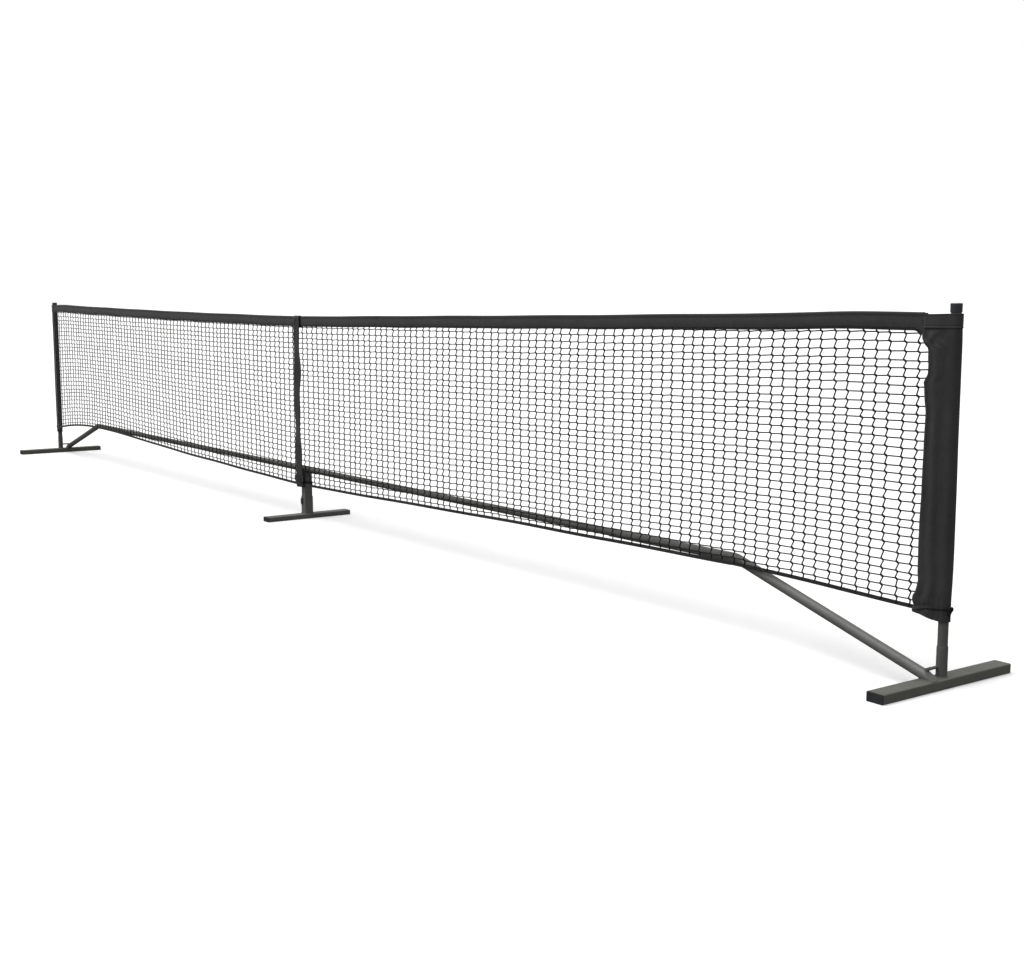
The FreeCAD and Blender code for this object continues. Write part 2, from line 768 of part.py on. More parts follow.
def pocket_piece(name, side, wide, radius, bottom, top, grow, taper=False):
    """Fabric pocket around an end post with a flap towards the net."""
    body = make_body(source_name(name, side))
    height = "(%s) - (%s)" % (top, bottom)
    pad(body, loop_flap(body, name + "_flap", wide, grow), name + "_flap_pad", height)
    pad(body, loop_round(body, name + "_round", radius), name + "_round_pad", height)
    pocket(body, loop_round(body, name + "_bore", "{sleeve_bore}"), name + "_bore_cut",
           2000.0, both=True)
    if taper:
        # slanted lower corner of the flap
        corner = make_sketch(body, name + "_corner", "XZ_Plane")
        edge = "0 - (%s) - 2" % wide
        polygon(corner, [(edge, -2.0), (-17.0, -2.0), (edge, "{sleeve_taper} - {sleeve_base}")])
        pocket(body, corner, name + "_corner_cut", 200.0, both=True)
    place(body, "{half_span}", 0, bottom)
    keep_on_side(name, body, side)


def tie_ring(name, side):
    """Drawcord round the foot of a sleeve, with its knot."""
    body = make_body(name + "_one")
    flap = loop_flap(body, name + "_flap", "{sleeve_wide} + {tie_thick}", "{tie_thick}")
    pad(body, flap, name + "_flap_pad", "{tie_tall}")
    ring = loop_round(body, name + "_round", "{sleeve_outer} + {tie_thick}")
    pad(body, ring, name + "_round_pad", "{tie_tall}")
    flap = loop_flap(body, name + "_in_flap", "{sleeve_wide} + {tie_gap}", "{tie_gap}")
    pocket(body, flap, name + "_in_cut", 40.0, both=True)
    ring = loop_round(body, name + "_in_round", "{sleeve_outer} + {tie_gap}")
    pocket(body, ring, name + "_in_round_cut", 40.0, both=True)
    place(body, "{half_span}", 0, "{sleeve_taper} + {tie_lift}")
    knot = doc.addObject("Part::Sphere", name + "_knot")
    knot.Radius = 4.0
    place(knot, "{half_span} + {sleeve_outer} + 4.5", -4.0,
          "{sleeve_taper} + {tie_lift} + {tie_tall} / 2")
    keep_on_side(name, boolean("Fuse", source_name(name, side), body, knot), side)


def net_end(side, tag):
    pocket_piece("end_sleeve_" + tag, side, "{sleeve_wide}", "{sleeve_outer}",
                 "{sleeve_base}", "{sleeve_top}", 0.0, taper=True)
    pocket_piece("corner_wrap_" + tag, side, "{band_stop}", "{wrap_outer}",
                 "{sleeve_top} + {seam_gap}", "{net_end_high}", 1.0)
    tie_ring("sleeve_tie_" + tag, side)


# ---------------------------------------------------------------- centre strap
def centre_strap():
    """Webbing down the net's front, folded over the band and under the hem."""
    body = make_body("centre_strap")
    sketch = make_sketch(body, "centre_strap_line", "YZ_Plane")
    front, back = "{net_plane} - {strap_front}", "{strap_back}"
    front_in, back_in = front + " + {strap_thick}", back + " - {strap_thick}"
    low = "{hem_mid_base} - {strap_under}"
    low_in = low + " + {strap_thick}"
    high_in = "{net_mid_high} + {strap_over}"
    high = high_in + " + {strap_thick}"
    tail = "{strap_tail_high}"
    flap = "{net_mid_high} - {band_tall} - {strap_flap}"
    polygon(sketch, [(front, low), (back, low), (back, tail), (back_in, tail),
                     (back_in, low_in), (front_in, low_in), (front_in, high_in),
                     (back_in, high_in), (back_in, flap), (back, flap),
                     (back, high), (front, high)])
    pad(body, sketch, "centre_strap_pad", "{strap_wide}", both=True)
    keep("centre_strap", body)


def strap_slider():
    """Plate with two slots in front of the strap."""
    body = make_body("strap_slider")
    sketch = make_sketch(body, "strap_slider_outline", "XZ_Plane")
    rect(sketch, "{slider_wide}", "{slider_tall}")
    for centre in ("0 - {slider_slot_at}", "{slider_slot_at}"):
        rect(sketch, "{strap_wide} + {slider_slot_room}", "{slider_slot}", centre)
    plate = pad(body, sketch, "strap_slider_pad", "{slider_thick}")
    soften(body, plate, "strap_slider_round", 4.0, outer_corners(Y_AXIS, "{slider_wide}"))
    place(body, 0, "{net_plane} - {strap_front} - 0.2", "{slider_at}")
    keep("strap_slider", body)


def strap_anchor():
    """Square loop round the centre post."""
    body = make_body("strap_anchor_loop")
    sketch = make_sketch(body, "strap_anchor_section", "XY_Plane")
    inner = "{mid_post_outer} + {anchor_room}"
    outer = inner + " + 2 * {strap_thick}"
    rect(sketch, outer, outer)
    rect(sketch, inner, inner)
    loop = pad(body, sketch, "strap_anchor_pad", "{anchor_tall}")
    soften(body, loop, "strap_anchor_round", 2.0, outer_corners(Z_AXIS, outer))
    place(body, 0, 0, "{anchor_base}")
    keep("strap_anchor_loop", body)


# ---------------------------------------------------------------- assembly
SIDES = ((1, "right"), (-1, "left"))

for side, tag in SIDES:
    end_frame(side, tag)
    half_crossbar(side, tag)

foot("centre_foot_tube", 0, "{mid_foot_length}", "{mid_foot_high}", 1)
foot_caps("centre_foot_end_caps", 0, "{mid_foot_length}", "{mid_foot_high}")
centre_socket()
centre_post()
centre_button()
centre_tee()
button_springs()

net_panel()
for side, tag in SIDES:
    net_end(side, tag)

centre_strap()
strap_slider()
strap_anchor()

# ---------------------------------------------------------------- checks and output
doc.recompute()
bad = []
for obj in doc.Objects:
    if "Invalid" in obj.State or "Error" in obj.State:
        bad.append("%s %s" % (obj.Name, obj.State))
for name, obj in PARTS:
    if obj.Shape.isNull() or not obj.Shape.isValid() or not obj.Shape.Solids:
        bad.append("%s has no valid solid" % name)
if bad:
    raise RuntimeError("; ".join(bad))
os.makedirs("parts", exist_ok=True)
for name, obj in PARTS:
    obj.Shape.exportStep("parts/%s.step" % name)
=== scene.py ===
"""Free-standing sports net: a tube frame from CAD, dressed with netting, fabric, cords and welds.

The net lies in the x-z plane, centred on x = 0, with a post at each end. The floor is z = 0.
The camera stands on the +x, -y side. Lengths are millimetres until a mesh is made, and the
right-hand end is +x.
"""

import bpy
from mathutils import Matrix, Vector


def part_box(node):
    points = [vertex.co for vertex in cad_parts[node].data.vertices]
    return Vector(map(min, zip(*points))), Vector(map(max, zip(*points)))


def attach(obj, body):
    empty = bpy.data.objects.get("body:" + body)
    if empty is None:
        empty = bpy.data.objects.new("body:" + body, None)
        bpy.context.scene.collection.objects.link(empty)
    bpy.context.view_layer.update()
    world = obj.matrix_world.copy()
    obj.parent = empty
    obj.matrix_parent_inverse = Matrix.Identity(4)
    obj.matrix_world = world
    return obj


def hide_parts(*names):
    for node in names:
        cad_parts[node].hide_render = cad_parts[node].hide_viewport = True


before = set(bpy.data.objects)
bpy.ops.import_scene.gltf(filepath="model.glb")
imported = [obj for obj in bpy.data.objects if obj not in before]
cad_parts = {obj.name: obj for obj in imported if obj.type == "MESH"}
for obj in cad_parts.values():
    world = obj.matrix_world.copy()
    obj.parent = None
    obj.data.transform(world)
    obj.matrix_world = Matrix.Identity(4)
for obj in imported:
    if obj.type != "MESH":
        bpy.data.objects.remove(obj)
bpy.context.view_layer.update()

import math

import bpy
import numpy as np
from mathutils import Matrix, Vector

TAU = 2 * math.pi
MM = 0.001
SIDES = ((1, "right"), (-1, "left"))

# ------------------------------------------------------------------ places, from the frame
post_lo, post_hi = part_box("end_post_right")
band_lo, band_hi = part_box("top_band")
hem_lo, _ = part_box("bottom_hem")
X_POST = (post_lo.x + post_hi.x) / 2 / MM             # post axis
Y_NET = (band_lo.y + band_hi.y) / 2 / MM
X_BAND = band_hi.x / MM                               # end of the band
Z_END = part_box("corner_wrap_right")[1].z / MM         # top of the net at the posts
Z_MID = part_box("centre_strap")[1].z / MM - 2.2        # top of the net at the middle
BAND = 44.0                                           # height of the band's face
X_HEM = X_POST - 64.0                                 # end of the hem
X_KNEE = 2650.0                                       # where the hem stops climbing
HEM_MID = hem_lo.z / MM
HEM_KNEE = HEM_MID + 54.0
HEM_END = HEM_MID + 47.0
DROP_LEFT = 36.0                                      # the left sleeve hangs this much lower


# ------------------------------------------------------------------ curve helpers
def smooth(x, start, end):
    """Eased step from 0 at start to 1 at end."""
    t = np.clip((np.asarray(x, float) - start) / (end - start), 0, 1)
    return t * t * (3 - 2 * t)


def hump(x, centre, width):
    return np.exp(-(((x - centre) / width) ** 2))


def ripple(u, v, seed, octaves=4):
    """Deterministic soft noise in -1..1 made of sine waves."""
    draw = np.random.default_rng(seed)
    total = 0.0
    norm = 0.0
    for octave in range(octaves):
        for _ in range(3):
            angle = draw.uniform(0, math.pi)
            phase = draw.uniform(0, TAU)
            wave = 1.9**octave * (np.cos(angle) * u + np.sin(angle) * v) + phase
            total = total + 0.55**octave * np.sin(wave)
        norm += 0.55**octave * 1.9
    return total / norm


def unit(vectors):
    return vectors / np.maximum(np.linalg.norm(vectors, axis=-1, keepdims=True), 1e-9)


def run_length(points):
    """Distance travelled along a path at each of its points."""
    return np.r_[0, np.cumsum(np.linalg.norm(np.diff(points, axis=0), axis=1))]


def close(points):
    return np.concatenate([points, points[:1]])


def outward(outline):
    """Normals of a closed anticlockwise 2D outline."""
    ahead = np.roll(outline, -1, 0) - np.roll(outline, 1, 0)
    return unit(np.stack([ahead[:, 1], -ahead[:, 0]], 1))


def spline(points, count, closed=True):
    """Evenly spaced points on a smooth curve through points."""
    points = np.asarray(points, float)
    total = len(points)
    curve = []
    for i in range(total if closed else total - 1):
        near = range(i - 1, i + 3)
        picks = [k % total if closed else min(max(k, 0), total - 1) for k in near]
        before, start, end, after = points[picks]
        gaps = (start - before, end - start, after - end)
        ahead, span, beyond = (max(np.linalg.norm(gap), 1e-6) ** 0.5 for gap in gaps)
        leave = arrive = end - start
        if ahead >= 1e-3:
            leave = ((start - before) / ahead - (end - before) / (ahead + span)
                     + (end - start) / span) * span
        if beyond >= 1e-3:
            arrive = ((end - start) / span - (after - start) / (span + beyond)
                      + (after - end) / beyond) * span
        for s in np.linspace(0, 1, 14, endpoint=False):
            curve.append((2 * s**3 - 3 * s**2 + 1) * start + (s**3 - 2 * s**2 + s) * leave
                         + (-2 * s**3 + 3 * s**2) * end + (s**3 - s**2) * arrive)
    curve.append(points[0] if closed else points[-1])
    curve = np.array(curve)
    run = run_length(curve)
    stops = np.linspace(0, run[-1], count + 1 if closed else count)
    even = np.stack([np.interp(stops, run, axis) for axis in curve.T], 1)
    return even[:-1] if closed else even


# ------------------------------------------------------------------ mesh helpers
def grid_quads(rows, sides):
    """Quads between rows of closed rings."""
    i, j = np.meshgrid(np.arange(rows - 1), np.arange(sides), indexing="ij")
    k = (j + 1) % sides
    corners = [i * sides + j, i * sides + k, (i + 1) * sides + k, (i + 1) * sides + j]
    return np.stack(corners, -1).reshape(-1, 4)


def grid_uvs(u, v):
    """Corner UVs for grid_quads; u and v broadcast to rows x (sides + 1)."""
    c = np.stack(np.broadcast_arrays(u, v), -1)
    return np.stack([c[:-1, :-1], c[:-1, 1:], c[1:, 1:], c[1:, :-1]], 2).reshape(-1, 4, 2)


def end_caps(rows, sides):
    cap = np.array([[k, k + 1, sides - 2 - k, sides - 1 - k] for k in range(sides // 2 - 1)])
    return np.concatenate([cap[:, ::-1], cap + (rows - 1) * sides])


class Geo:
    """Collects quads with their own UVs, in millimetres, and makes one object of them."""

    def __init__(self):
        self.verts, self.quads, self.uvs, self.count = [], [], [], 0

    def add(self, verts, quads, uvs=None):
        if uvs is None:
            corners = verts[quads]
            uvs = np.stack([corners[..., 0] + corners[..., 1], corners[..., 2]], -1)
        self.verts.append(verts)
        self.quads.append(quads + self.count)
        self.uvs.append(uvs)
        self.count += len(verts)

    def add_strand(self, rings, u, v, cap_from_side=False):
        """Capped strand; cap UVs are zero, or the y and z of their corners."""
        rows, sides = rings.shape[:2]
        verts = rings.reshape(-1, 3)
        caps = end_caps(rows, sides)
        cap_uvs = verts[caps][..., 1:] if cap_from_side else np.zeros((len(caps), 4, 2))
        self.add(verts, np.concatenate([grid_quads(rows, sides), caps]),
                 np.concatenate([grid_uvs(u, v), cap_uvs]))

    def add_double_wall(self, outer, inner, around, heights, mirror=False):
        """Closed band of cloth with two faces, rimmed at both edges."""
        rows, sides = outer.shape[:2]
        wall = rows * sides
        verts = np.concatenate([outer.reshape(-1, 3), inner.reshape(-1, 3)])
        face = grid_quads(rows, sides)
        j = np.arange(sides)
        k = (j + 1) % sides
        last = wall - sides
        first_rim = np.stack([j, j + wall, k + wall, k], -1)
        last_rim = np.stack([last + j, last + k, last + k + wall, last + j + wall], -1)
        face_uvs = grid_uvs(around[None], heights[:, None])
        quads = np.concatenate([face, face[:, ::-1] + wall, first_rim, last_rim])
        uvs = np.concatenate([face_uvs, face_uvs[:, ::-1], np.zeros((2 * sides, 4, 2))])
        if mirror:
            verts[:, 0] *= -1
            quads, uvs = quads[:, ::-1], uvs[:, ::-1]
        self.add(verts, quads, uvs)

    def make(self, name, material, slot, *replaced, body="net"):
        verts = np.concatenate(self.verts) * MM
        quads = np.concatenate(self.quads)
        uvs = np.concatenate(self.uvs) * MM
        mesh = bpy.data.meshes.new(name)
        mesh.vertices.add(len(verts))
        mesh.vertices.foreach_set("co", verts.astype(np.float32).ravel())
        mesh.loops.add(quads.size)
        mesh.loops.foreach_set("vertex_index", quads.astype(np.int32).ravel())
        mesh.polygons.add(len(quads))
        starts = (np.arange(len(quads)) * 4).astype(np.int32)
        mesh.polygons.foreach_set("loop_start", starts)
        mesh.update(calc_edges=True)
        layer = mesh.uv_layers.new(name="UVMap")
        layer.data.foreach_set("uv", uvs.astype(np.float32).ravel())
        mesh.polygons.foreach_set("use_smooth", np.full(len(quads), True))
        mesh.validate()
        mesh.update()
        made = bpy.data.objects.new(name, mesh)
        bpy.context.scene.collection.objects.link(made)
        mesh.materials.append(material)
        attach(made, body)
        if replaced:
            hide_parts(*replaced)


def tube(geo, points, radius, sides=6, facing=(0, 1, 0), closed=False):
    """Round strand along points; facing is roughly square to the run of the strand."""
    points = np.asarray(points, float)
    count = len(points)
    radius = np.broadcast_to(np.asarray(radius, float), (count,))
    if closed:
        along = unit(np.roll(points, -1, 0) - np.roll(points, 1, 0))
    else:
        along = unit(np.gradient(points, axis=0))
    facing = np.broadcast_to(np.asarray(facing, float), points.shape)
    first = unit(facing - along * (facing * along).sum(1, keepdims=True))
    second = np.cross(along, first)
    angle = np.arange(sides) / sides * TAU + TAU / (2 * sides)
    circle = (np.cos(angle)[None, :, None] * first[:, None]
              + np.sin(angle)[None, :, None] * second[:, None])
    rings = points[:, None] + radius[:, None, None] * circle
    if closed:
        geo.add(rings.reshape(-1, 3), grid_quads(count + 1, sides) % (count * sides))
        return
    around = np.arange(sides + 1) / sides * TAU * radius.mean()
    geo.add_strand(rings, around[None], run_length(points)[:, None])


def stitch(geo, points, end, crown, facing=(0, 1, 0)):
    """One visible stitch through three points, thicker at its crown."""
    tube(geo, points, [end, crown, end], 4, facing)


# ------------------------------------------------------------------ material helpers
def shade(colour, factor, lift=0.0):
    return tuple(min(1, c * factor + lift) for c in colour)


class Shader:
    """A new material, and the node calls that its recipe is written in."""

    def __init__(self, name):
        self.material = bpy.data.materials.new(name)
        self.material.use_nodes = True
        self.tree = self.material.node_tree
        self.bsdf = next(n for n in self.tree.nodes if n.type == "BSDF_PRINCIPLED")

    def new(self, kind):
        return self.tree.nodes.new("ShaderNode" + kind)

    def feed(self, socket, value):
        """Link a socket to another, or give it a number or an RGB colour."""
        if isinstance(value, bpy.types.NodeSocket):
            self.tree.links.new(value, socket)
        elif isinstance(value, tuple):
            socket.default_value = (*value, 1)
        else:
            socket.default_value = value

    def surface(self, name, value):
        self.feed(self.bsdf.inputs[name], value)

    def coords(self, scale=(1, 1, 1), source="Object"):
        place = self.new("TexCoord")
        mapping = self.new("Mapping")
        mapping.inputs["Scale"].default_value = scale
        self.feed(mapping.inputs[0], place.outputs[source])
        return mapping.outputs[0]

    def noise(self, vector, scale, detail=4.0, roughness=0.55):
        texture = self.new("TexNoise")
        texture.inputs["Scale"].default_value = scale
        texture.inputs["Detail"].default_value = detail
        texture.inputs["Roughness"].default_value = roughness
        self.feed(texture.inputs["Vector"], vector)
        return texture.outputs["Fac"]

    def cells(self, vector, scale):
        texture = self.new("TexVoronoi")
        texture.inputs["Scale"].default_value = scale
        self.feed(texture.inputs["Vector"], vector)
        return texture.outputs["Distance"]

    def ramp(self, source, *stops):
        """Two stops, each a position with a grey level or a colour."""
        node = self.new("ValToRGB")
        for element, (position, value) in zip(node.color_ramp.elements, stops):
            element.position = position
            element.color = (*value, 1) if isinstance(value, tuple) else (value,) * 3 + (1,)
        self.feed(node.inputs[0], source)
        return node.outputs[0]

    def mix(self, factor, first, second):
        node = self.new("Mix")
        node.data_type = "RGBA"
        for index, value in ((0, factor), (6, first), (7, second)):
            self.feed(node.inputs[index], value)
        return node.outputs[2]

    def calc(self, operation, *values):
        node = self.new("Math")
        node.operation = operation
        for socket, value in zip(node.inputs, values):
            self.feed(socket, value)
        return node.outputs[0]

    def dapple(self, base, tint, vector, start, full, amount, **noise):
        """Lay tint over base where noise passes from start to full."""
        mask = self.ramp(self.noise(vector, **noise), (start, 0.0), (full, amount))
        return self.mix(mask, base, tint)

    def roughness(self, vector, limits, **noise):
        low, high = limits
        self.surface("Roughness", self.ramp(self.noise(vector, **noise), (0.3, low), (0.7, high)))

    def bump(self, *layers):
        """Each layer is a height, a strength and a distance in metres."""
        last = None
        for height, strength, distance in layers:
            node = self.new("Bump")
            node.inputs["Strength"].default_value = strength
            node.inputs["Distance"].default_value = distance
            self.feed(node.inputs["Height"], height)
            if last is not None:
                self.feed(node.inputs["Normal"], last)
            last = node.outputs[0]
        self.surface("Normal", last)


# ------------------------------------------------------------------ material recipes
def powder_coat(name, dark, light, rough=(0.38, 0.56), wear=True):
    """Grey powder coat; wear adds long scuffs and dust."""
    sh = Shader(name)
    body = sh.coords()
    cloud = sh.noise(body, scale=9.0, detail=5)
    colour = sh.ramp(cloud, (0.3, dark), (0.7, light))
    colour = sh.dapple(colour, shade(light, 1.5), body, start=0.56, full=0.74, amount=0.35,
                       scale=900.0, detail=2, roughness=0.6)
    if wear:
        scuffed = sh.coords(scale=(14, 160, 14))
        colour = sh.dapple(colour, shade(light, 1.35), scuffed, start=0.66, full=0.74, amount=0.5,
                           scale=3.0, detail=6, roughness=0.7)
        colour = sh.dapple(colour, shade(light, 1.22, 0.01), body, start=0.5, full=0.8,
                           amount=0.3, scale=38.0, detail=6, roughness=0.65)
    sh.surface("Base Color", colour)
    sh.roughness(body, rough, scale=60.0, detail=5)
    sh.surface("Specular IOR Level", 0.5)
    peel = sh.noise(body, scale=420.0, detail=3, roughness=0.5)
    grit = sh.noise(body, scale=1500.0, detail=2, roughness=0.6)
    sh.bump((peel, 0.22, 0.0006), (grit, 0.3, 0.0002))
    return sh.material


def plastic(name, dark, light, rough=(0.35, 0.55)):
    """Moulded plastic with a fine grain and pale scuffs."""
    sh = Shader(name)
    body = sh.coords()
    colour = sh.ramp(sh.noise(body, scale=30.0, detail=5), (0.3, dark), (0.72, light))
    scuffed = sh.coords(scale=(40, 40, 220))
    colour = sh.dapple(colour, shade(light, 1.9), scuffed, start=0.62, full=0.8, amount=0.4,
                       scale=3.0, detail=6, roughness=0.7)
    sh.surface("Base Color", colour)
    sh.roughness(body, rough, scale=120.0, detail=4)
    grain = sh.cells(body, scale=1400.0)
    sh.bump((grain, 0.25, 0.0003), (sh.noise(body, scale=300.0, detail=2), 0.12, 0.0005))
    return sh.material


def bare_steel(name, centre, edge, rough=(0.25, 0.45)):
    """Bare metal, its colour running from the centre to the edge of small cells."""
    sh = Shader(name)
    body = sh.coords()
    cells = sh.cells(body, scale=220.0)
    sh.surface("Base Color", sh.mix(sh.ramp(cells, (0.1, 0.0), (0.6, 1.0)), centre, edge))
    sh.surface("Metallic", 1.0)
    sh.roughness(body, rough, scale=90.0, detail=6)
    brushed = sh.noise(sh.coords(scale=(900, 60, 60)), scale=2.0, detail=3)
    sh.bump((brushed, 0.15, 0.0002))
    return sh.material


def woven(name, dark, light, pitch=0.0011, depth=0.35):
    """Plain weave from the piece's own UVs, laid out in metres; pitch is one thread."""
    sh = Shader(name)
    uv = sh.coords(scale=(1 / pitch, 1 / pitch, 1), source="UV")
    split = sh.new("SeparateXYZ")
    sh.feed(split.inputs[0], uv)
    warp = sh.calc("SINE", sh.calc("MULTIPLY", split.outputs[0], TAU / 2))
    weft = sh.calc("SINE", sh.calc("MULTIPLY", split.outputs[1], TAU / 2))
    weave = sh.calc("MULTIPLY", warp, weft)
    thread = sh.calc("MAXIMUM", sh.calc("ABSOLUTE", warp), sh.calc("ABSOLUTE", weft))
    height = sh.calc("ADD", sh.calc("MULTIPLY", weave, 0.5), thread)
    body = sh.coords()
    cloud = sh.noise(body, scale=7.0, detail=6, roughness=0.6)
    colour = sh.ramp(cloud, (0.28, dark), (0.72, light))
    slubs = sh.coords(scale=(60, 900, 1), source="UV")
    colour = sh.dapple(colour, shade(light, 1.35), slubs, start=0.45, full=0.75, amount=0.45,
                       scale=2.0, detail=4)
    # painted shade: the gaps between the threads are darkened in the colour
    gaps = sh.calc("MULTIPLY", sh.calc("SUBTRACT", 1.0, thread), 0.8)
    colour = sh.mix(gaps, colour, shade(dark, 0.35))
    # lint
    colour = sh.dapple(colour, shade(light, 1.8), body, start=0.6, full=0.8, amount=0.3,
                       scale=260.0, detail=5, roughness=0.7)
    sh.surface("Base Color", colour)
    sh.roughness(body, (0.72, 0.9), scale=45.0, detail=5)
    sh.surface("Specular IOR Level", 0.28)
    sh.surface("Sheen Weight", 0.15)
    sh.surface("Sheen Roughness", 0.45)
    creases = sh.noise(body, scale=130.0, detail=5, roughness=0.6)
    sh.bump((height, depth, 0.0004), (creases, 0.25, 0.0009))
    return sh.material


def twine(name, dark, light, pitch=0.0016):
    """Twisted strand; pitch is one turn of the lay, in metres."""
    sh = Shader(name)
    uv = sh.coords(source="UV")
    split = sh.new("SeparateXYZ")
    sh.feed(split.inputs[0], uv)
    lay = sh.calc("ADD", sh.calc("MULTIPLY", split.outputs[1], TAU / pitch),
                  sh.calc("MULTIPLY", split.outputs[0], TAU / pitch * 0.9))
    strand = sh.calc("SINE", lay)
    body = sh.coords()
    colour = sh.ramp(sh.noise(body, scale=14.0, detail=5), (0.3, dark), (0.7, light))
    # painted shade: the colour is darkened in the grooves between the twisted strands
    groove_shade = sh.ramp(strand, (0.0, 0.6), (0.6, 0.0))
    colour = sh.mix(groove_shade, colour, shade(dark, 0.4))
    # fuzz
    colour = sh.dapple(colour, shade(light, 2.0), body, start=0.55, full=0.75, amount=0.4,
                       scale=700.0, detail=3)
    sh.surface("Base Color", colour)
    sh.roughness(body, (0.62, 0.85), scale=200.0, detail=3)
    sh.surface("Specular IOR Level", 0.3)
    sh.bump((strand, 0.5, 0.0004))
    return sh.material


# Each call gives the darkest and the lightest colour of the surface.
COAT_POST = powder_coat("coat_post", (0.092, 0.092, 0.088), (0.118, 0.118, 0.112))
COAT_BRACE = powder_coat("coat_brace", (0.112, 0.113, 0.107), (0.146, 0.147, 0.140),
                         rough=(0.36, 0.52))
COAT_FOOT = powder_coat("coat_foot", (0.112, 0.114, 0.097), (0.143, 0.145, 0.126),
                        rough=(0.42, 0.6))
COAT_BAR = powder_coat("coat_bar", (0.098, 0.098, 0.090), (0.130, 0.130, 0.120))
COAT_MID = powder_coat("coat_mid", (0.120, 0.121, 0.118), (0.150, 0.151, 0.147))
COAT_MID_FOOT = powder_coat("coat_mid_foot", (0.108, 0.108, 0.105), (0.140, 0.140, 0.136))
COAT_WELD = powder_coat("coat_weld", (0.085, 0.086, 0.076), (0.135, 0.136, 0.122),
                        rough=(0.3, 0.5), wear=False)
PLASTIC = plastic("plastic_black", (0.018, 0.019, 0.021), (0.030, 0.031, 0.034))
POST_CAP = plastic("plastic_post_cap", (0.020, 0.022, 0.026), (0.032, 0.034, 0.040),
                   rough=(0.3, 0.45))
ZINC = bare_steel("steel_zinc", (0.50, 0.51, 0.53), (0.62, 0.62, 0.60))
SPRING = bare_steel("steel_spring", (0.30, 0.30, 0.31), (0.40, 0.39, 0.38))
BUTTON = bare_steel("steel_button", (0.10, 0.10, 0.10), (0.16, 0.155, 0.15), rough=(0.3, 0.5))
BAND_CLOTH = woven("fabric_band", (0.043, 0.043, 0.044), (0.058, 0.058, 0.058))
SLEEVE_CLOTH = woven("fabric_sleeve", (0.037, 0.037, 0.0375), (0.052, 0.052, 0.052))
# binding cloth: darker than the band, partly its own colour and partly painted shade along the
# band's lower edge
BINDING_CLOTH_AND_SHADE = woven("fabric_binding_and_shade", (0.022, 0.022, 0.0225), (0.031, 0.031, 0.031))
HEM_CLOTH = woven("fabric_hem", (0.014, 0.014, 0.0145), (0.021, 0.021, 0.021))
WEBBING = woven("webbing_strap", (0.020, 0.020, 0.021), (0.030, 0.030, 0.031),
                pitch=0.0018, depth=0.6)
THREAD = twine("thread", (0.012, 0.012, 0.012), (0.022, 0.022, 0.022), pitch=0.0009)
NET_TWINE = twine("net_twine", (0.013, 0.013, 0.0135), (0.022, 0.022, 0.022))
CORD = twine("cord_braid", (0.012, 0.012, 0.012), (0.020, 0.020, 0.020))

# Frame pieces by the start of their name
FRAME_MATERIALS = (
    (("foot_tube",), COAT_FOOT),
    (("brace_tube",), COAT_BRACE),
    (("outer_crossbar", "inner_crossbar", "centre_tee"), COAT_BAR),
    (("centre_foot_tube", "gusset_rod"), COAT_MID_FOOT),
    (("centre_socket", "centre_post"), COAT_MID),
    (("end_post", "post_socket"), COAT_POST),
    (("crossbar_spigot",), ZINC),
    (("post_cap",), POST_CAP),
    (("foot_end_caps", "centre_foot_end_caps", "post_foot_plug", "strap_slider"), PLASTIC),
)


def frame_material(name):
    for starts, material in FRAME_MATERIALS:
        if name.startswith(starts):
            return material
    if name == "button_springs":
        return SPRING
    return BUTTON if "button" in name else CORD


for name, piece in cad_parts.items():
    material = frame_material(name)
    if piece.data.materials:
        for i in range(len(piece.data.materials)):
            piece.data.materials[i] = material
    else:
        piece.data.materials.append(material)


# ------------------------------------------------------------------ lines the fabric follows
def band_top(x):
    """Top edge of the band: two straight pulls that meet at the strap, drooping at the posts."""
    x = np.asarray(x, float)
    out = np.abs(x)
    z = Z_MID + (Z_END - 1.2 - Z_MID) * np.sqrt(out**2 + 60.0**2) / X_POST
    z = z + 3.0 * hump(out, X_BAND - 210, 150) - 1.0 * smooth(out, X_BAND - 90, X_BAND + 15)
    z = z + 12.0 * smooth(-x, 900, X_POST) + 4.6 * smooth(x, 1500, X_POST)
    return z + 0.5 * np.sin(out * 0.011 + 1.0) - 0.6


def hem_line(x):
    """Lower edge of the net: it climbs to a knee near each post, then dips to the sleeve."""
    x = np.asarray(x, float)
    out = np.abs(x)
    climb = HEM_MID + (HEM_KNEE - HEM_MID) * (np.sqrt(out**2 + 90.0**2) - 40.0) / X_KNEE
    dip = HEM_KNEE + (HEM_END - HEM_KNEE) * (out - X_KNEE) / (X_POST - 59 - X_KNEE)
    z = np.where(out < X_KNEE, climb, dip)
    z = z + 13.0 * hump(x, -2300, 700) + 5.0 * hump(x, 1500, 800)
    z = z - DROP_LEFT * np.clip((-x - 2600) / (X_HEM - 2600), 0, 1) ** 2.4
    z = z - 5.0 * smooth(x, 2800, X_POST - 60)
    return z + 2.0 + 0.7 * np.sin(out * 0.009) * smooth(out, 100, 600)


# Right sleeve from top to bottom: height, distance from the post axis to the net-side edge
SLEEVE_EDGE = np.array([
    (905, 71), (872, 71), (860, 71.5), (851, 71), (843, 66), (830, 56), (812, 52), (790, 51),
    (768, 51.5), (757, 57), (748, 62), (736, 60), (705, 57), (676, 52.5), (655, 53), (600, 55),
    (535, 56), (470, 56.5), (411, 58), (360, 58.5), (312, 57.6), (280, 57), (262, 54.5),
    (246, 58), (232, 62), (221, 69), (210, 70), (194, 69.5), (150, 69.5),
], float)[::-1]


def sleeve_width(z, side):
    """Distance from the post axis to the sleeve's net-side edge; the left sleeve is wider."""
    heights, widths = SLEEVE_EDGE.T
    if side > 0:
        return float(np.interp(z, heights, widths))
    width = 74 + 0.45 * (np.interp(z * 0.93 + 30, heights, widths) - 55)
    width = width + 2.6 * np.sin(z / 61.0) + 1.5 * np.sin(z / 23.0 + 1)
    return float(np.minimum(width + 5 * smooth(z, 240, 215), 86.0))


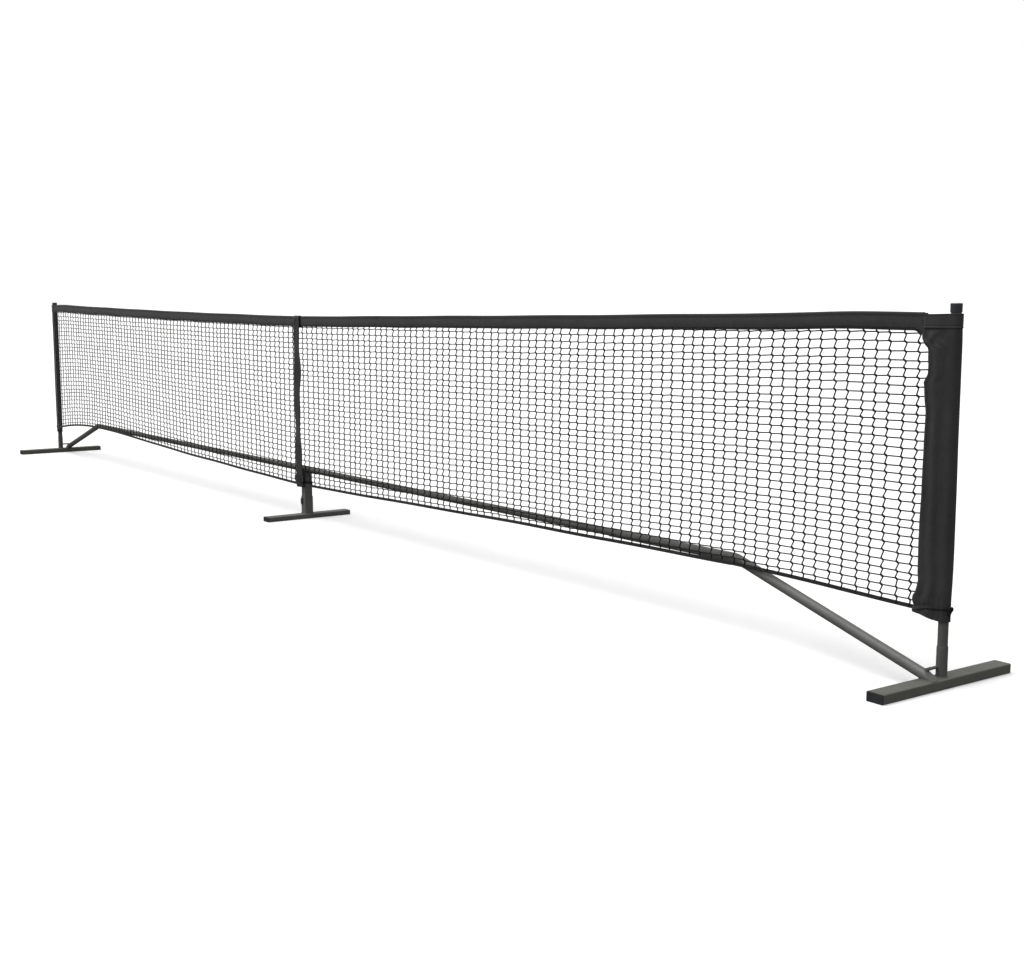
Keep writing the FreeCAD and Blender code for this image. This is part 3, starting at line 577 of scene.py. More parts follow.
def slide(z, side):
    """How far the sleeve has sunk at height z; only the left one has."""
    return (0.0 if side > 0 else DROP_LEFT) * smooth(z, 560, 215)


# ------------------------------------------------------------------ netting
MESH = 44.3                                           # mean spacing of the columns
COLUMN_STEPS = (0.946, 1.082, 0.94, 0.923, 1.109)     # repeating shares of that spacing
ROW_STEPS = (1.06, 1.02, 0.90, 0.98, 0.99, 1.05)
KNOT_X, KNOT_Z = 3.4, 3.5                             # half extents of a knot
PANEL_COLUMNS = 25                                    # columns in one object
LEAST_COLUMNS = 6                                     # a smaller remainder joins the last panel


def columns():
    places, x = [], X_POST - 82.0
    while x > -(X_POST - 70.0):
        places.append(x)
        x -= MESH * COLUMN_STEPS[(len(places) - 1) % 5]
    return np.array(places[::-1])


def rows():
    """Heights of the rows as a share: 0 at the band, 1 at the hem, plus one row hidden above."""
    steps = [0.22] + [ROW_STEPS[k % 6] for k in range(29)] + [0.62]
    share = np.cumsum(steps)[:-1] / sum(steps)
    return np.concatenate([[share[0] - 1.0 / sum(steps)], share])


def net_y(x, share):
    belly = np.sin(math.pi * np.clip(share, 0, 1)) ** 0.7
    wave = 2.1 * np.sin(x / 410.0 + 2.2 * share) + 1.2 * np.sin(x / 173.0 - 3.0 * share + 1.0)
    return Y_NET + belly * wave


def net_z(x, share):
    top = band_top(x) - BAND + 1.5
    low = hem_line(x) + 8.0
    # on the right half the rows stay level while the band climbs away from them to the post
    level = -27.0 * np.clip(np.asarray(x, float) / X_POST, 0, 1) * (1 - share) ** 1.3
    return np.minimum(top + (low - top) * share + level, top)


rng = np.random.default_rng(7)
column_x, row_share = columns(), rows()
column_count, row_count = shape = len(column_x), len(row_share)
sway = 0.9 * np.sin(np.arange(column_count)[:, None] * 0.71 + row_share[None] * 7)
knot_x = column_x[:, None] + rng.normal(0, 0.5, shape) + sway
knot_share = np.broadcast_to(row_share[None], shape)
knot_z = net_z(knot_x, knot_share) + rng.normal(0, 0.35, shape)
knot_y = net_y(knot_x, knot_share)
knot_half = KNOT_X * (1 + rng.normal(0, 0.16, shape))


def knots_at(*index):
    return (table[index] for table in (knot_x, knot_y, knot_z, knot_half))


def through_knots(before, after):
    """Path that enters and leaves each knot."""
    return np.stack([np.stack(before, 1), np.stack(after, 1)], 1).reshape(-1, 3)


def add_column(geo, column):
    x, y, z, half = knots_at(column)
    path = through_knots((x - half, y - 0.4, z + KNOT_Z), (x + half, y - 0.4, z - KNOT_Z))
    top = [x[0] + 1.0, Y_NET, float(band_top(x[0])) - BAND + 6.5]
    low = [x[-1] - 1.0, Y_NET, float(net_z(x[-1], 1.0)) - 3.0]
    tube(geo, np.concatenate([[top], path, [low]]), 2.1)


def add_row(geo, row, first, last):
    """Twine from one column's knot to another's, or into the sleeve at an end of the net."""
    x, y, z, half = knots_at(slice(first, last + 1), row)
    path = through_knots((x - half * 0.7, y + 0.5, z + 0.9), (x + half * 0.7, y + 0.5, z - 0.9))
    if first == 0:
        x_end = -(X_POST - sleeve_width(z[0], -1) + 7.0)
        path = np.concatenate([[[x_end, Y_NET, z[0] - 1.0]], path])
    else:
        path = path[1:]
    if last == column_count - 1:
        x_end = X_POST - sleeve_width(z[-1], 1) + 7.0
        path = np.concatenate([path, [[x_end, Y_NET, z[-1] + 1.0]]])
    else:
        path = path[:-1]
    tube(geo, path, 1.75)


def add_knots(geo, first, stop, sides=6):
    """Fat slanted beads where the twines cross."""
    radii = np.array([0.8, 2.3, 2.9, 2.95, 2.35, 0.8])
    bend = np.array([0.0, 0.5, -0.5, 0.45, -0.4, 0.0])
    rings = len(radii)
    along = np.linspace(-1, 1, rings)
    angle = np.arange(sides) / sides * TAU
    x, y, z, half = (table.reshape(-1) for table in knots_at(slice(first, stop)))
    count = len(x)
    slant = np.stack([half * 0.95, np.zeros(count), np.full(count, -KNOT_Z * 0.92)], 1)
    across = np.array([0.0, 1.0, 0.0])
    square = np.cross(unit(slant), across)[:, None, None]
    fat = 1 + rng.normal(0, 0.08, count)
    verts = (np.stack([x, y, z], 1)[:, None, None]
             + along[None, :, None, None] * slant[:, None, None] * 1.06)
    verts = verts + radii[None, :, None, None] * fat[:, None, None, None] * (
        0.92 * np.cos(angle)[None, None, :, None] * across
        + np.sin(angle)[None, None, :, None] * square)
    verts = verts + bend[None, :, None, None] * square
    quads = np.concatenate([grid_quads(rings, sides), end_caps(rings, sides)])
    offsets = (np.arange(count) * rings * sides)[:, None, None]
    geo.add(verts.reshape(-1, 3), (quads[None] + offsets).reshape(-1, 4))


starts = list(range(0, column_count, PANEL_COLUMNS))
if column_count - starts[-1] < LEAST_COLUMNS:
    starts.pop()
for number, (first, stop) in enumerate(zip(starts, starts[1:] + [column_count]), 1):
    geo = Geo()
    for column in range(first, stop):
        add_column(geo, column)
    for row in range(row_count):
        add_row(geo, row, first, min(stop, column_count - 1))
    add_knots(geo, first, stop)
    replaced = ("net_mesh",) if number == 1 else ()
    geo.make("net_panel_%d" % number, NET_TWINE, "netting", *replaced)


# ------------------------------------------------------------------ flat strips and their seams
def strip(geo, xs, profile, top, y_of, scale=np.ones_like, pucker=0.25, seed=3):
    """Closed fabric strip under the line top; scale stretches what is over 12 mm down."""
    profile = np.asarray(profile, float)
    drop = np.r_[profile[:, 0], profile[::-1, 0][1:-1]]
    half = np.r_[-profile[:, 1], profile[::-1, 1][1:-1]]
    across = close(np.stack([drop, half], 1))
    x = np.repeat(xs[:, None], len(drop), 1)
    z = top(xs)[:, None] - drop[None] * np.where(drop[None] > 12, scale(xs)[:, None], 1.0)
    gathers = np.sin(x / 4.1 + drop[None] / 7.0) * np.exp(-np.abs((drop[None] % 30) - 12) / 8)
    swell = 1 + pucker * 0.4 * gathers + 0.12 * ripple(x / 90, z / 20, seed)
    y = y_of(x, drop[None]) + half[None] * swell
    geo.add_strand(np.stack([x, y, z], -1), xs[:, None], run_length(across)[None],
                   cap_from_side=True)


def seam(geo, xs, top, drop, y_of, half, length=3.1, scale=np.ones_like):
    """Row of stitches on both faces of a strip."""
    for face in (-1, 1):
        for x in xs:
            place = np.array([x])
            stretch = float(scale(place)[0]) if drop > 12 else 1.0
            z = float(top(place)[0]) - drop * stretch
            y = float(y_of(place, drop)[0]) + face * (half + 0.12)
            sunk = y - face * 0.25
            stitch(geo, [[x - length / 2, sunk, z], [x, y + face * 0.18, z + 0.15],
                         [x + length / 2, sunk, z]], end=0.34, crown=0.5)


# ------------------------------------------------------------------ band along the top
# Profiles: distance below the strip's top edge, half thickness
BAND_PROFILE = [
    (0, 0.0), (0.35, 1.5), (1.3, 2.8), (3.6, 3.7), (6.2, 3.1), (8.6, 2.5), (10.2, 2.2),
    (13, 2.5), (19, 2.9), (26, 3.0), (32, 2.6), (36, 1.7), (39.4, 1.3), (41.4, 1.4),
    (43.2, 1.2), (BAND, 0.0)]
BINDING_PROFILE = [
    (34.9, 0.0), (34.9, 1.75), (35.3, 2.75), (36.4, 2.95), (38.0, 2.45), (39.6, 2.15),
    (41.6, 2.35), (43.6, 2.0), (44.7, 1.1), (45.0, 0.0)]


def band_y(x, drop):
    share = np.asarray(drop, float) / BAND
    wave = 0.9 * np.sin(x / 330.0) + 0.7 * np.sin(x / 127.0 + 1.3)
    return Y_NET + (0.3 + 0.7 * share) * wave * smooth(X_POST - np.abs(x), 70, 260)


def band_scale(x):
    """The band's face deepens at its ends."""
    return 1 + 0.22 * smooth(np.abs(x), X_BAND - 30, X_BAND - 2) + 0.012 * np.sin(x / 61.0)


end_xs = np.linspace(X_BAND - 45, X_BAND, 24)
band_xs = np.unique(np.r_[np.linspace(-X_BAND, X_BAND, 700), end_xs, -end_xs])
geo = Geo()
strip(geo, band_xs, BAND_PROFILE, band_top, band_y, band_scale)
geo.make("headband", BAND_CLOTH, "band_fabric", "top_band")

# folded tape sewn over the band's lower edge; its dark cloth is partly its own colour and partly
# painted shade along that edge
geo = Geo()
strip(geo, band_xs, BINDING_PROFILE, band_top, band_y, band_scale, pucker=0.5, seed=9)
geo.make("headband_binding_and_shade", BINDING_CLOTH_AND_SHADE, "band_fabric")

geo = Geo()
line_xs = np.linspace(-(X_BAND + 9), X_BAND + 9, 240)
line_y = np.full_like(line_xs, Y_NET)
tube(geo, np.stack([line_xs, line_y, band_top(line_xs) - 3.8], 1), 2.3, 8)
geo.make("headline", CORD, "cord", "headline_cable")

geo = Geo()
seam_xs = np.arange(-X_BAND + 6, X_BAND - 4, 5.2)
seam(geo, seam_xs, band_top, 10.2, band_y, half=2.25)
seam(geo, seam_xs + 2.0, band_top, 39.6, band_y, half=2.22, scale=band_scale)
geo.make("headband_stitching", THREAD, "band_fabric")

# ------------------------------------------------------------------ hem along the bottom
HEM_DEPTH = 11.2
HEM_PROFILE = [
    (0, 0.0), (0.3, 0.8), (1.6, 1.15), (4.2, 1.2), (5.6, 1.5), (7.4, 2.5), (9.2, 2.7),
    (10.6, 1.9), (HEM_DEPTH, 0.0)]


def hem_top(x):
    return hem_line(x) + HEM_DEPTH


def hem_y(x, _drop):
    return Y_NET + 0.6 * np.sin(x / 83.0)


hem_xs = np.linspace(-X_HEM, X_HEM, 560)
geo = Geo()
strip(geo, hem_xs, HEM_PROFILE, hem_top, hem_y, pucker=0.5, seed=5)
geo.make("hem_fold", HEM_CLOTH, "band_fabric", "bottom_hem")

geo = Geo()
tube(geo, np.stack([hem_xs, hem_y(hem_xs, 0), hem_line(hem_xs) + 2.7], 1), 1.4)
geo.make("hem_drawline", CORD, "cord", "hem_cord")

geo = Geo()
seam_xs = np.arange(-X_HEM + 4, X_HEM - 4, 6.0)
seam(geo, seam_xs, hem_top, 4.6, hem_y, half=1.25, length=3.4)
geo.make("hem_stitching", THREAD, "band_fabric")

# ------------------------------------------------------------------ sleeves and corner wraps
AROUND = 88                                           # points round a pocket
SLEEVE_RADIUS, SLEEVE_TIP = 15.9, 2.2                 # round the post; half gap at the flap's edge
SLEEVE_LOW, SLEEVE_TOP = 164, 884
WRAP_RADIUS, WRAP_TIP = 16.4, 3.6
WRAP_WIDTH = {1: 68.0, -1: 72.0}
WRAP_LOW = 877.5
WRAP_TOP = {1: 911.2, -1: 920.6}
WRAP_SEAM_LOW = 883.5
WRAP_SEAM_DROP = 4.0                                  # upper seam below the wrap's top
TIE_Z = 197.0                                         # height of the drawcord
# Lower edge of the sleeve, cut up towards the net: x from the post axis, height
SKIRT_X = [-88, -72, -62, -47, -33, -17, 0, 20]
SKIRT_Z = [183, 181.5, 179.5, 176.5, 173.5, 168, 165.2, 164.5]


def pocket(width, radius, tip, count=AROUND):
    """Outline round the post, its axis at the origin, with a flap out to -x round the net."""
    return spline([
        (-width, Y_NET - tip), (-0.72 * width, Y_NET - tip + 0.5),
        (-0.40 * width, Y_NET - tip + 3.0), (-6.5, -radius - 3.1), (3.0, -radius - 0.5),
        (0.60 * radius, -0.84 * radius), (0.90 * radius, -0.50 * radius), (1.02 * radius, 0.0),
        (0.90 * radius, 0.50 * radius), (0.55 * radius, 0.86 * radius), (0.0, radius),
        (-0.52 * radius, 0.86 * radius), (-1.02 * radius, 0.40 * radius),
        (-0.48 * width, -0.42 * radius - 4), (-0.74 * width, Y_NET + 7.5),
        (-width + 4, Y_NET + tip + 0.6), (-width - 0.6, Y_NET + tip * 0.4)], count)


def shell(side, zs, widths, radius, tip, thick, wrinkle, height):
    """Stack of pockets with two faces. wrinkle pushes the cloth out, height moves it in z."""
    outer = np.zeros((len(zs), AROUND, 3))
    inner = np.zeros((len(zs), AROUND, 3))
    around = np.arange(AROUND) / AROUND
    for i, (z, width) in enumerate(zip(zs, widths)):
        outline = pocket(width, radius, tip)
        normals = outward(outline)
        outside = outline + normals * wrinkle(outline, z, around, side)[:, None]
        inside = outside - normals * thick
        # the inner face stays clear of the netting at the flap
        flap = outline[:, 0] < -30
        y = inside[flap, 1]
        inside[flap, 1] = np.where(outline[flap, 1] < Y_NET, np.minimum(y, Y_NET - 0.25),
                                   np.maximum(y, Y_NET + 0.25))
        for ring, face in ((outer[i], outside), (inner[i], inside)):
            ring[:, 0] = X_POST + face[:, 0]
            ring[:, 1] = face[:, 1]
            ring[:, 2] = height(outline[:, 0], z, side)
    run = run_length(close(outer[len(zs) // 2][:, :2]))
    geo = Geo()
    geo.add_double_wall(outer, inner, run, zs, mirror=side < 0)
    return geo


def tie_height(x):
    """Height of the drawcord: it dips towards the net."""
    return TIE_Z - 11.0 * smooth(-x, 20, 66)


def pleats(around):
    return np.sin(around * TAU * 17 + 0.6 * np.sin(around * 31))


def sleeve_wrinkle(outline, z, around, side):
    seed = 11 if side > 0 else 23
    x = outline[:, 0]
    free = smooth(x, 2, -22)                          # cloth hangs free between post and net

    def folds(turns, height, offset, octaves):
        return ripple(around * turns, np.full_like(around, z / height), seed + offset, octaves)

    soft = 0.9 * folds(18, 120.0, 0, 3)
    tall = 1.3 * folds(9, 420.0, 1, 2) + 1.0 * np.sin(around * 40 + z / 300.0)
    ends = 0.35 + smooth(z, 700, 850) + smooth(z, 330, 240)
    cross = 0.8 * folds(5, 28.0, 2, 3) * ends
    push = (0.5 + 0.9 * free) * soft + free * tall + cross * (0.4 + free)
    push = push + 0.7 + 1.2 * smooth(z, 620, 480) * smooth(z, 215, 300) * smooth(x, -8, 8)
    # gathers at the drawcord
    over_tie = z - tie_height(x)
    gather = 1.25 * pleats(around) + 0.6 * np.sin(around * TAU * 29 + 1)
    push = push * (1 - 0.9 * hump(over_tie, 0, 11.0))
    push = push + np.exp(-np.abs(over_tie) / 17.0) * gather - 1.3 * hump(over_tie, 0, 3.4)
    # pull lines below the corner
    push = push + hump(z, 835, 40.0) * 1.4 * np.sin(around * 60 + z / 9.0) * free
    # a pinch where the flap turns in under the corner, and a fold from it to the post
    over_fold = z - (826 + 0.9 * (x + 62))
    push = push + free * (2.0 * hump(over_fold, 16, 12.0) - 1.6 * hump(over_fold, -6, 9.0))
    push = push * (1 - 0.85 * float(smooth(z, 862, 876)))
    return np.clip(push, np.where(np.abs(over_tie) < 12, -0.5, -0.1), 4.5)


def sleeve_height(x, z, side):
    skirt = np.interp(x, SKIRT_X, SKIRT_Z)
    return z + smooth(z, 232.0, SLEEVE_LOW) * (skirt - SLEEVE_LOW) - slide(z, side)


def wrap_wrinkle(_outline, z, around, side):
    seed = 31 if side > 0 else 37
    edge = (0.55 * hump(z, 879.5, 1.6) - 0.5 * hump(z, WRAP_SEAM_LOW, 1.3)
            - 0.3 * hump(z, WRAP_TOP[side] - WRAP_SEAM_DROP, 1.3))
    return 0.8 + 0.3 * ripple(around * 8, np.full_like(around, z / 40.0), seed, 3) + edge


def wrap_height(x, z, side):
    """The wrap's top rises a little towards the post."""
    share = (WRAP_TOP[side] - z) / (WRAP_TOP[side] - WRAP_LOW)
    return z + 1.2 * smooth(x, -60, 5) * (1 - smooth(share, 0.0, 0.5))


def make_sleeve(side, tag):
    zs = np.unique(np.r_[np.linspace(SLEEVE_LOW, 250, 70), np.linspace(250, 700, 90),
                         np.linspace(700, SLEEVE_TOP, 80)])[::-1]
    widths = [sleeve_width(z, side) for z in zs]
    geo = shell(side, zs, widths, SLEEVE_RADIUS, SLEEVE_TIP, thick=0.9,
                wrinkle=sleeve_wrinkle, height=sleeve_height)
    geo.make("sleeve_" + tag, SLEEVE_CLOTH, "band_fabric", "end_sleeve_" + tag)


def make_wrap(side, tag):
    zs = np.linspace(WRAP_TOP[side], WRAP_LOW, 44)
    widths = [WRAP_WIDTH[side]] * len(zs)
    geo = shell(side, zs, widths, WRAP_RADIUS, WRAP_TIP, thick=0.8,
                wrinkle=wrap_wrinkle, height=wrap_height)
    geo.make("wrap_" + tag, BAND_CLOTH, "band_fabric", "corner_wrap_" + tag)


def make_drawcord(side, tag, count=120):
    """Cord round the sleeve, with a knot and two tails on the far side from the net."""
    outline = pocket(sleeve_width(TIE_Z, side), SLEEVE_RADIUS, SLEEVE_TIP, count)
    around = np.arange(count) / count
    outset = 1.5 + 1.25 * pleats(around) * 0.35
    cord = outline + outward(outline) * outset[:, None]
    cord_z = tie_height(cord[:, 0]) + 0.9 * np.sin(around * TAU * 3)
    ring = np.stack([X_POST + cord[:, 0], cord[:, 1], cord_z], 1)
    x, y = X_POST + 20.6, -6.0                        # where the knot sits
    angle = np.linspace(0, TAU, 40, endpoint=False)
    reach = 4.4 + 1.8 * np.cos(3 * angle)
    knot = np.stack([x + 2.6 + 1.5 * np.sin(2 * angle) + 1.6 * np.cos(angle),
                     y + reach * np.cos(2 * angle),
                     TIE_Z + 0.6 + reach * np.sin(2 * angle) * 1.1 + 1.0 * np.sin(3 * angle)], 1)
    # path, radius, facing, closed
    strands = [(ring, 1.9, (0, 0, 1), True), (knot, 2.4, (1, 0.2, 0.1), True)]
    for way, fall in ((-1, -15.0), (1, -19.0)):
        tail = spline([(x + 2.2, y + way * 1.5, TIE_Z), (x + 3.2, y + way * 3.0, TIE_Z - 4),
                       (x + 0.6, y + way * 3.4, TIE_Z + fall * 0.6),
                       (x - 1.8, y + way * 3.0, TIE_Z + fall)], 14, False)
        strands.append((tail, 1.7, (1, 0.2, 0.1), False))
    geo = Geo()
    for path, radius, facing, closed in strands:
        path[:, 2] -= slide(TIE_Z, side)
        if side < 0:
            path = (path * [-1, 1, 1])[::-1]
        tube(geo, path, radius, 8, facing, closed)
    geo.make("drawcord_" + tag, CORD, "cord", "sleeve_tie_" + tag)


def make_sleeve_stitching(side, tag):
    """Seams up both faces of the flap beside the net, and round the wrap near both its edges."""
    geo = Geo()
    mirror = np.array([side, 1, 1])
    for z in np.arange(205.0, 872.0, 5.0):
        x = X_POST - sleeve_width(z, side) + 5.5
        for y, crown_y in ((Y_NET - 3.9, -0.25), (Y_NET + 4.0, 0.25)):
            points = np.array([[x, y, z - 1.6], [x + 0.1, y + crown_y, z], [x, y, z + 1.6]])
            points[:, 2] -= slide(z, side)
            stitch(geo, points * mirror, end=0.36, crown=0.52)

    outline = pocket(WRAP_WIDTH[side], WRAP_RADIUS, WRAP_TIP)
    closed_outline, normals = close(outline), close(outward(outline))
    run = run_length(closed_outline)
    steps = np.arange(AROUND + 1.0)
    for z in (WRAP_SEAM_LOW, WRAP_TOP[side] - WRAP_SEAM_DROP):
        for middle in np.arange(4.0, run[-1] - 4, 5.0):
            index = np.interp([middle - 1.5, middle, middle + 1.5], run, steps)
            place, normal = (
                np.stack([np.interp(index, steps, axis) for axis in table.T], 1)
                for table in (closed_outline, normals))
            cloth = float(wrap_wrinkle(None, z, np.array([index[1] / AROUND]), side)[0])
            place = place + normal * (cloth + np.array([-0.15, 0.28, -0.15]))[:, None]
            stitch_z = wrap_height(place[:, 0], z, side)
            points = np.stack([X_POST + place[:, 0], place[:, 1], stitch_z], 1)
            stitch(geo, points * mirror, end=0.36, crown=0.52, facing=(0, 0, 1))
    geo.make("sleeve_stitching_" + tag, THREAD, "band_fabric")


for side, tag in SIDES:
    make_sleeve(side, tag)
    make_wrap(side, tag)
    make_drawcord(side, tag)
    make_sleeve_stitching(side, tag)

# ------------------------------------------------------------------ centre strap
STRAP_WIDTH, STRAP_THICK = 55.0, 1.7
STRAP_TOP = float(band_top(np.array([0.0]))[0])
STRAP_LOW = HEM_MID - 3.6
STRAP_FRONT, STRAP_BACK = Y_NET - 8.0, Y_NET + 5.2    # y of its two runs


def make_strap(count=13):
    """Webbing from behind the band, over it, down the -y side, under the hem and up behind."""
    top, low, front, back = STRAP_TOP, STRAP_LOW, STRAP_FRONT, STRAP_BACK
    # y, z
    path = spline([
        (back, top - BAND - 6), (back, top - 30), (back - 0.3, top - 6), (back - 3.5, top + 0.7),
        (Y_NET, top + 1.6), (front + 4.0, top + 1.0), (front + 0.2, top - 5),
        (front - 0.2, top - 40), (front - 1.8, top - 120), (front + 0.3, top - 230),
        (front - 2.4, top - 330), (front - 0.4, top - 430), (front - 2.2, top - 520),
        (front - 0.2, top - 610), (front - 0.3, 196), (front - 0.1, 165), (front + 0.4, low + 6),
        (front + 3, low + 0.6), (Y_NET - 1, low), (back - 3, low + 0.7), (back - 0.4, low + 5),
        (back, 160), (back, 171)], 330, False)
    along = unit(np.gradient(path, axis=0))
    normals = np.stack([along[:, 1], -along[:, 0]], 1)
    run = run_length(path)
    twist = 0.075 * np.sin(run / 66.0) + 0.05 * np.sin(run / 27.0)
    twist = (twist * smooth(run, 110, 200) * smooth(run, 860, 780))[:, None]
    sway = 3.0 * np.sin(run / 118.0 + 0.6) + 1.6 * np.sin(run / 41.0)
    sway = sway * smooth(run, 110, 220) * smooth(run, 860, 760)
    # cross-section with soft rounded edges: share of the half width, half thickness
    across = np.linspace(-1, 1, count)
    edge = np.sqrt(np.clip(1 - np.abs(across) ** 10, 0, 1)) * 0.8 + 0.2
    section = np.r_[across, across[::-1]]
    half = np.r_[edge, -edge[::-1]] * STRAP_THICK / 2
    ribs = 1 + 0.10 * np.sin(run * TAU / 5.5)[:, None]
    cup = 0.5 * (section[None] ** 2 - 0.5) * np.sin(run / 90.0)[:, None]
    reach = section[None] * STRAP_WIDTH / 2
    offset = half[None] * ribs + reach * np.sin(twist) + cup
    rings = np.stack([sway[:, None] + reach * np.cos(twist),
                      path[:, 0:1] + normals[:, 0:1] * offset,
                      path[:, 1:2] + normals[:, 1:2] * offset], -1)
    geo = Geo()
    geo.add_strand(rings, close(section)[None] * STRAP_WIDTH / 2, run[:, None])
    geo.make("pull_down_strap", WEBBING, "webbing", "centre_strap")


def make_strap_stitching():
    """Crossed box of stitches on the strap's -y face, over the band."""
    geo = Geo()
    low, high, left, right = STRAP_TOP - 36, STRAP_TOP - 16, -17, 17
    y = STRAP_FRONT - 1.0
    corners = [(left, low), (right, low), (right, high), (left, high)]
    for first, second in ((0, 1), (1, 2), (2, 3), (3, 0), (0, 2), (1, 3)):
        start = np.array(corners[first])
        line = np.array(corners[second]) - start
        length = math.hypot(*line)
        for s in np.arange(1.5, length - 1, 4.2):
            x, z = start + line * s / length
            half_x, half_z = line / length * 1.35
            stitch(geo, [[x - half_x, y, z - half_z], [x, y - 0.3, z],
                         [x + half_x, y, z + half_z]], end=0.35, crown=0.5)
    geo.make("strap_stitching", THREAD, "webbing")


def make_post_belt(count=120, levels=11):
    """Belt round the square centre post, with two short seams on its -y face."""
    lo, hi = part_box("strap_anchor_loop")
    half = (hi.x - lo.x) / 2 / MM
    z_low, z_high = lo.z / MM, hi.z / MM
    near, bevel, proud = half - 3, half - 0.8, half + 0.15
    outline = spline([
        (-near, -half), (0, -proud), (near, -half), (bevel, -bevel),
        (half, -near), (proud, 0), (half, near), (bevel, bevel),
        (near, half), (0, proud), (-near, half), (-bevel, bevel),
        (-half, near), (-proud, 0), (-half, -near), (-bevel, -bevel)], count)
    normals = outward(outline)
    middle = outline - normals * 0.8
    edge = np.sqrt(np.clip(1 - np.abs(np.linspace(-1, 1, levels)) ** 8, 0, 1)) * 0.75 + 0.25
    ribs = (1 + 0.08 * np.sin(np.arange(count) * TAU / 6))[None, :, None]
    outer = middle[None] + normals[None] * (0.8 * edge)[:, None, None] * ribs
    inner = middle[None] - normals[None] * (0.75 * edge)[:, None, None]
    zs = np.linspace(z_low, z_high, levels)
    level_z = np.broadcast_to(zs[:, None, None], (levels, count, 1))
    outer, inner = (np.concatenate([face, level_z], -1)[::-1] for face in (outer, inner))
    geo = Geo()
    geo.add_double_wall(outer, inner, run_length(close(outline)), zs[::-1])
    for z in (z_low + 3.0, z_high - 3.0):
        for x in np.arange(-14, 14.1, 4.4):
            sunk = -half - 0.25
            stitch(geo, [[x - 1.4, sunk, z], [x, -half - 0.5, z], [x + 1.4, sunk, z]],
                   end=0.3, crown=0.45)
    geo.make("post_belt", WEBBING, "webbing", "strap_anchor_loop", body="frame")


make_strap()
make_strap_stitching()
make_post_belt()

# ------------------------------------------------------------------ weld beads on the frame
WELD_LIFT = 0.3                                       # bead centre above the foot tube
socket_lo, socket_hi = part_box("post_socket_right")
SOCKET_RADIUS = (socket_hi.x - socket_lo.x) / 2 / MM
mid_lo, mid_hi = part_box("centre_socket")
MID_SOCKET_HALF = (mid_hi.x - mid_lo.x) / 2 / MM
Z_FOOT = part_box("foot_tube_right")[1].z / MM
Z_MID_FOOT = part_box("centre_foot_tube")[1].z / MM
rod_lo, rod_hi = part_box("gusset_rod_right")
ROD_X = (rod_lo.x + rod_hi.x) / 2 / MM
ROD_Z = (rod_lo.z + rod_hi.z) / 2 / MM
ROD_END_Y = (-38.6, -14.9)
BRACE_X = 3328                                        # where the brace meets the foot
BRACE_RADIUS = 14.3


def bead(geo, points, radius, closed, seed):
    """Rippled weld bead."""
    points = np.asarray(points, float)
    points = spline(points, max(24, int(run_length(points)[-1] / 1.15)), closed)
    steps = np.arange(len(points))
    uneven = 0.10 * ripple(steps / 7.0, steps * 0.0, seed, 2)
    radius = radius * (1 + 0.16 * np.sin(steps * TAU / 3.0) + uneven)
    if not closed:
        radius = radius * np.clip(np.minimum(steps, steps[::-1]) / 3.0 + 0.35, 0, 1)
    tube(geo, points, radius, 8, (0, 0, 1), closed)


def brace_seam():
    """Line where the sloping round brace meets the top of the right foot tube."""
    along = np.linspace(0, 45, 12)
    axis_z = 39.5 - along * 0.2551
    axis_y = -50 - along * 0.0727
    height = (axis_z - Z_FOOT) * 0.966
    half = np.sqrt(np.clip(BRACE_RADIUS**2 - height**2, 1.0, None)) + 0.4
    z = Z_FOOT + WELD_LIFT
    level = np.full(12, z)
    front = np.stack([BRACE_X + along, axis_y - half, level], 1)
    back = np.stack([BRACE_X + along, axis_y + half, level], 1)[::-1]
    end = [[BRACE_X + 46.6, axis_y[-1] + y, z] for y in (-7, 7)]
    return np.concatenate([front, end, back])


def make_end_welds(side, tag):
    geo = Geo()
    angle = np.linspace(0, TAU, 48, endpoint=False)
    reach = SOCKET_RADIUS + 0.5
    bead(geo, np.stack([side * X_POST + reach * np.cos(angle), reach * np.sin(angle),
                        np.full(48, Z_FOOT + WELD_LIFT)], 1), 2.2, closed=True, seed=4)
    bead(geo, brace_seam() * np.array([side, side, 1]), 1.9, closed=False, seed=6)
    turn = angle[::4]
    for y in ROD_END_Y:
        bead(geo, np.stack([side * (ROD_X + 3.9 * np.cos(turn)), np.full(12, side * y),
                            ROD_Z + 3.9 * np.sin(turn)], 1), 0.9, closed=True, seed=8)
    geo.make("weld_beads_" + tag, COAT_WELD, "coated_steel", body="frame")


def make_centre_weld():
    """Rounded square round the foot of the centre socket."""
    inset = MID_SOCKET_HALF - 2.0
    points = []
    for x, y, start in ((inset, -inset, -90), (inset, inset, 0),
                        (-inset, inset, 90), (-inset, -inset, 180)):
        for turn in (0, 45, 90):
            angle = math.radians(start + turn)
            points.append((x + 2.5 * math.cos(angle), y + 2.5 * math.sin(angle),
                           Z_MID_FOOT + WELD_LIFT))
    geo = Geo()
    bead(geo, points, 2.0, closed=True, seed=9)
    geo.make("weld_beads_centre", COAT_WELD, "coated_steel", body="frame")


for side, tag in SIDES:
    make_end_welds(side, tag)
make_centre_weld()


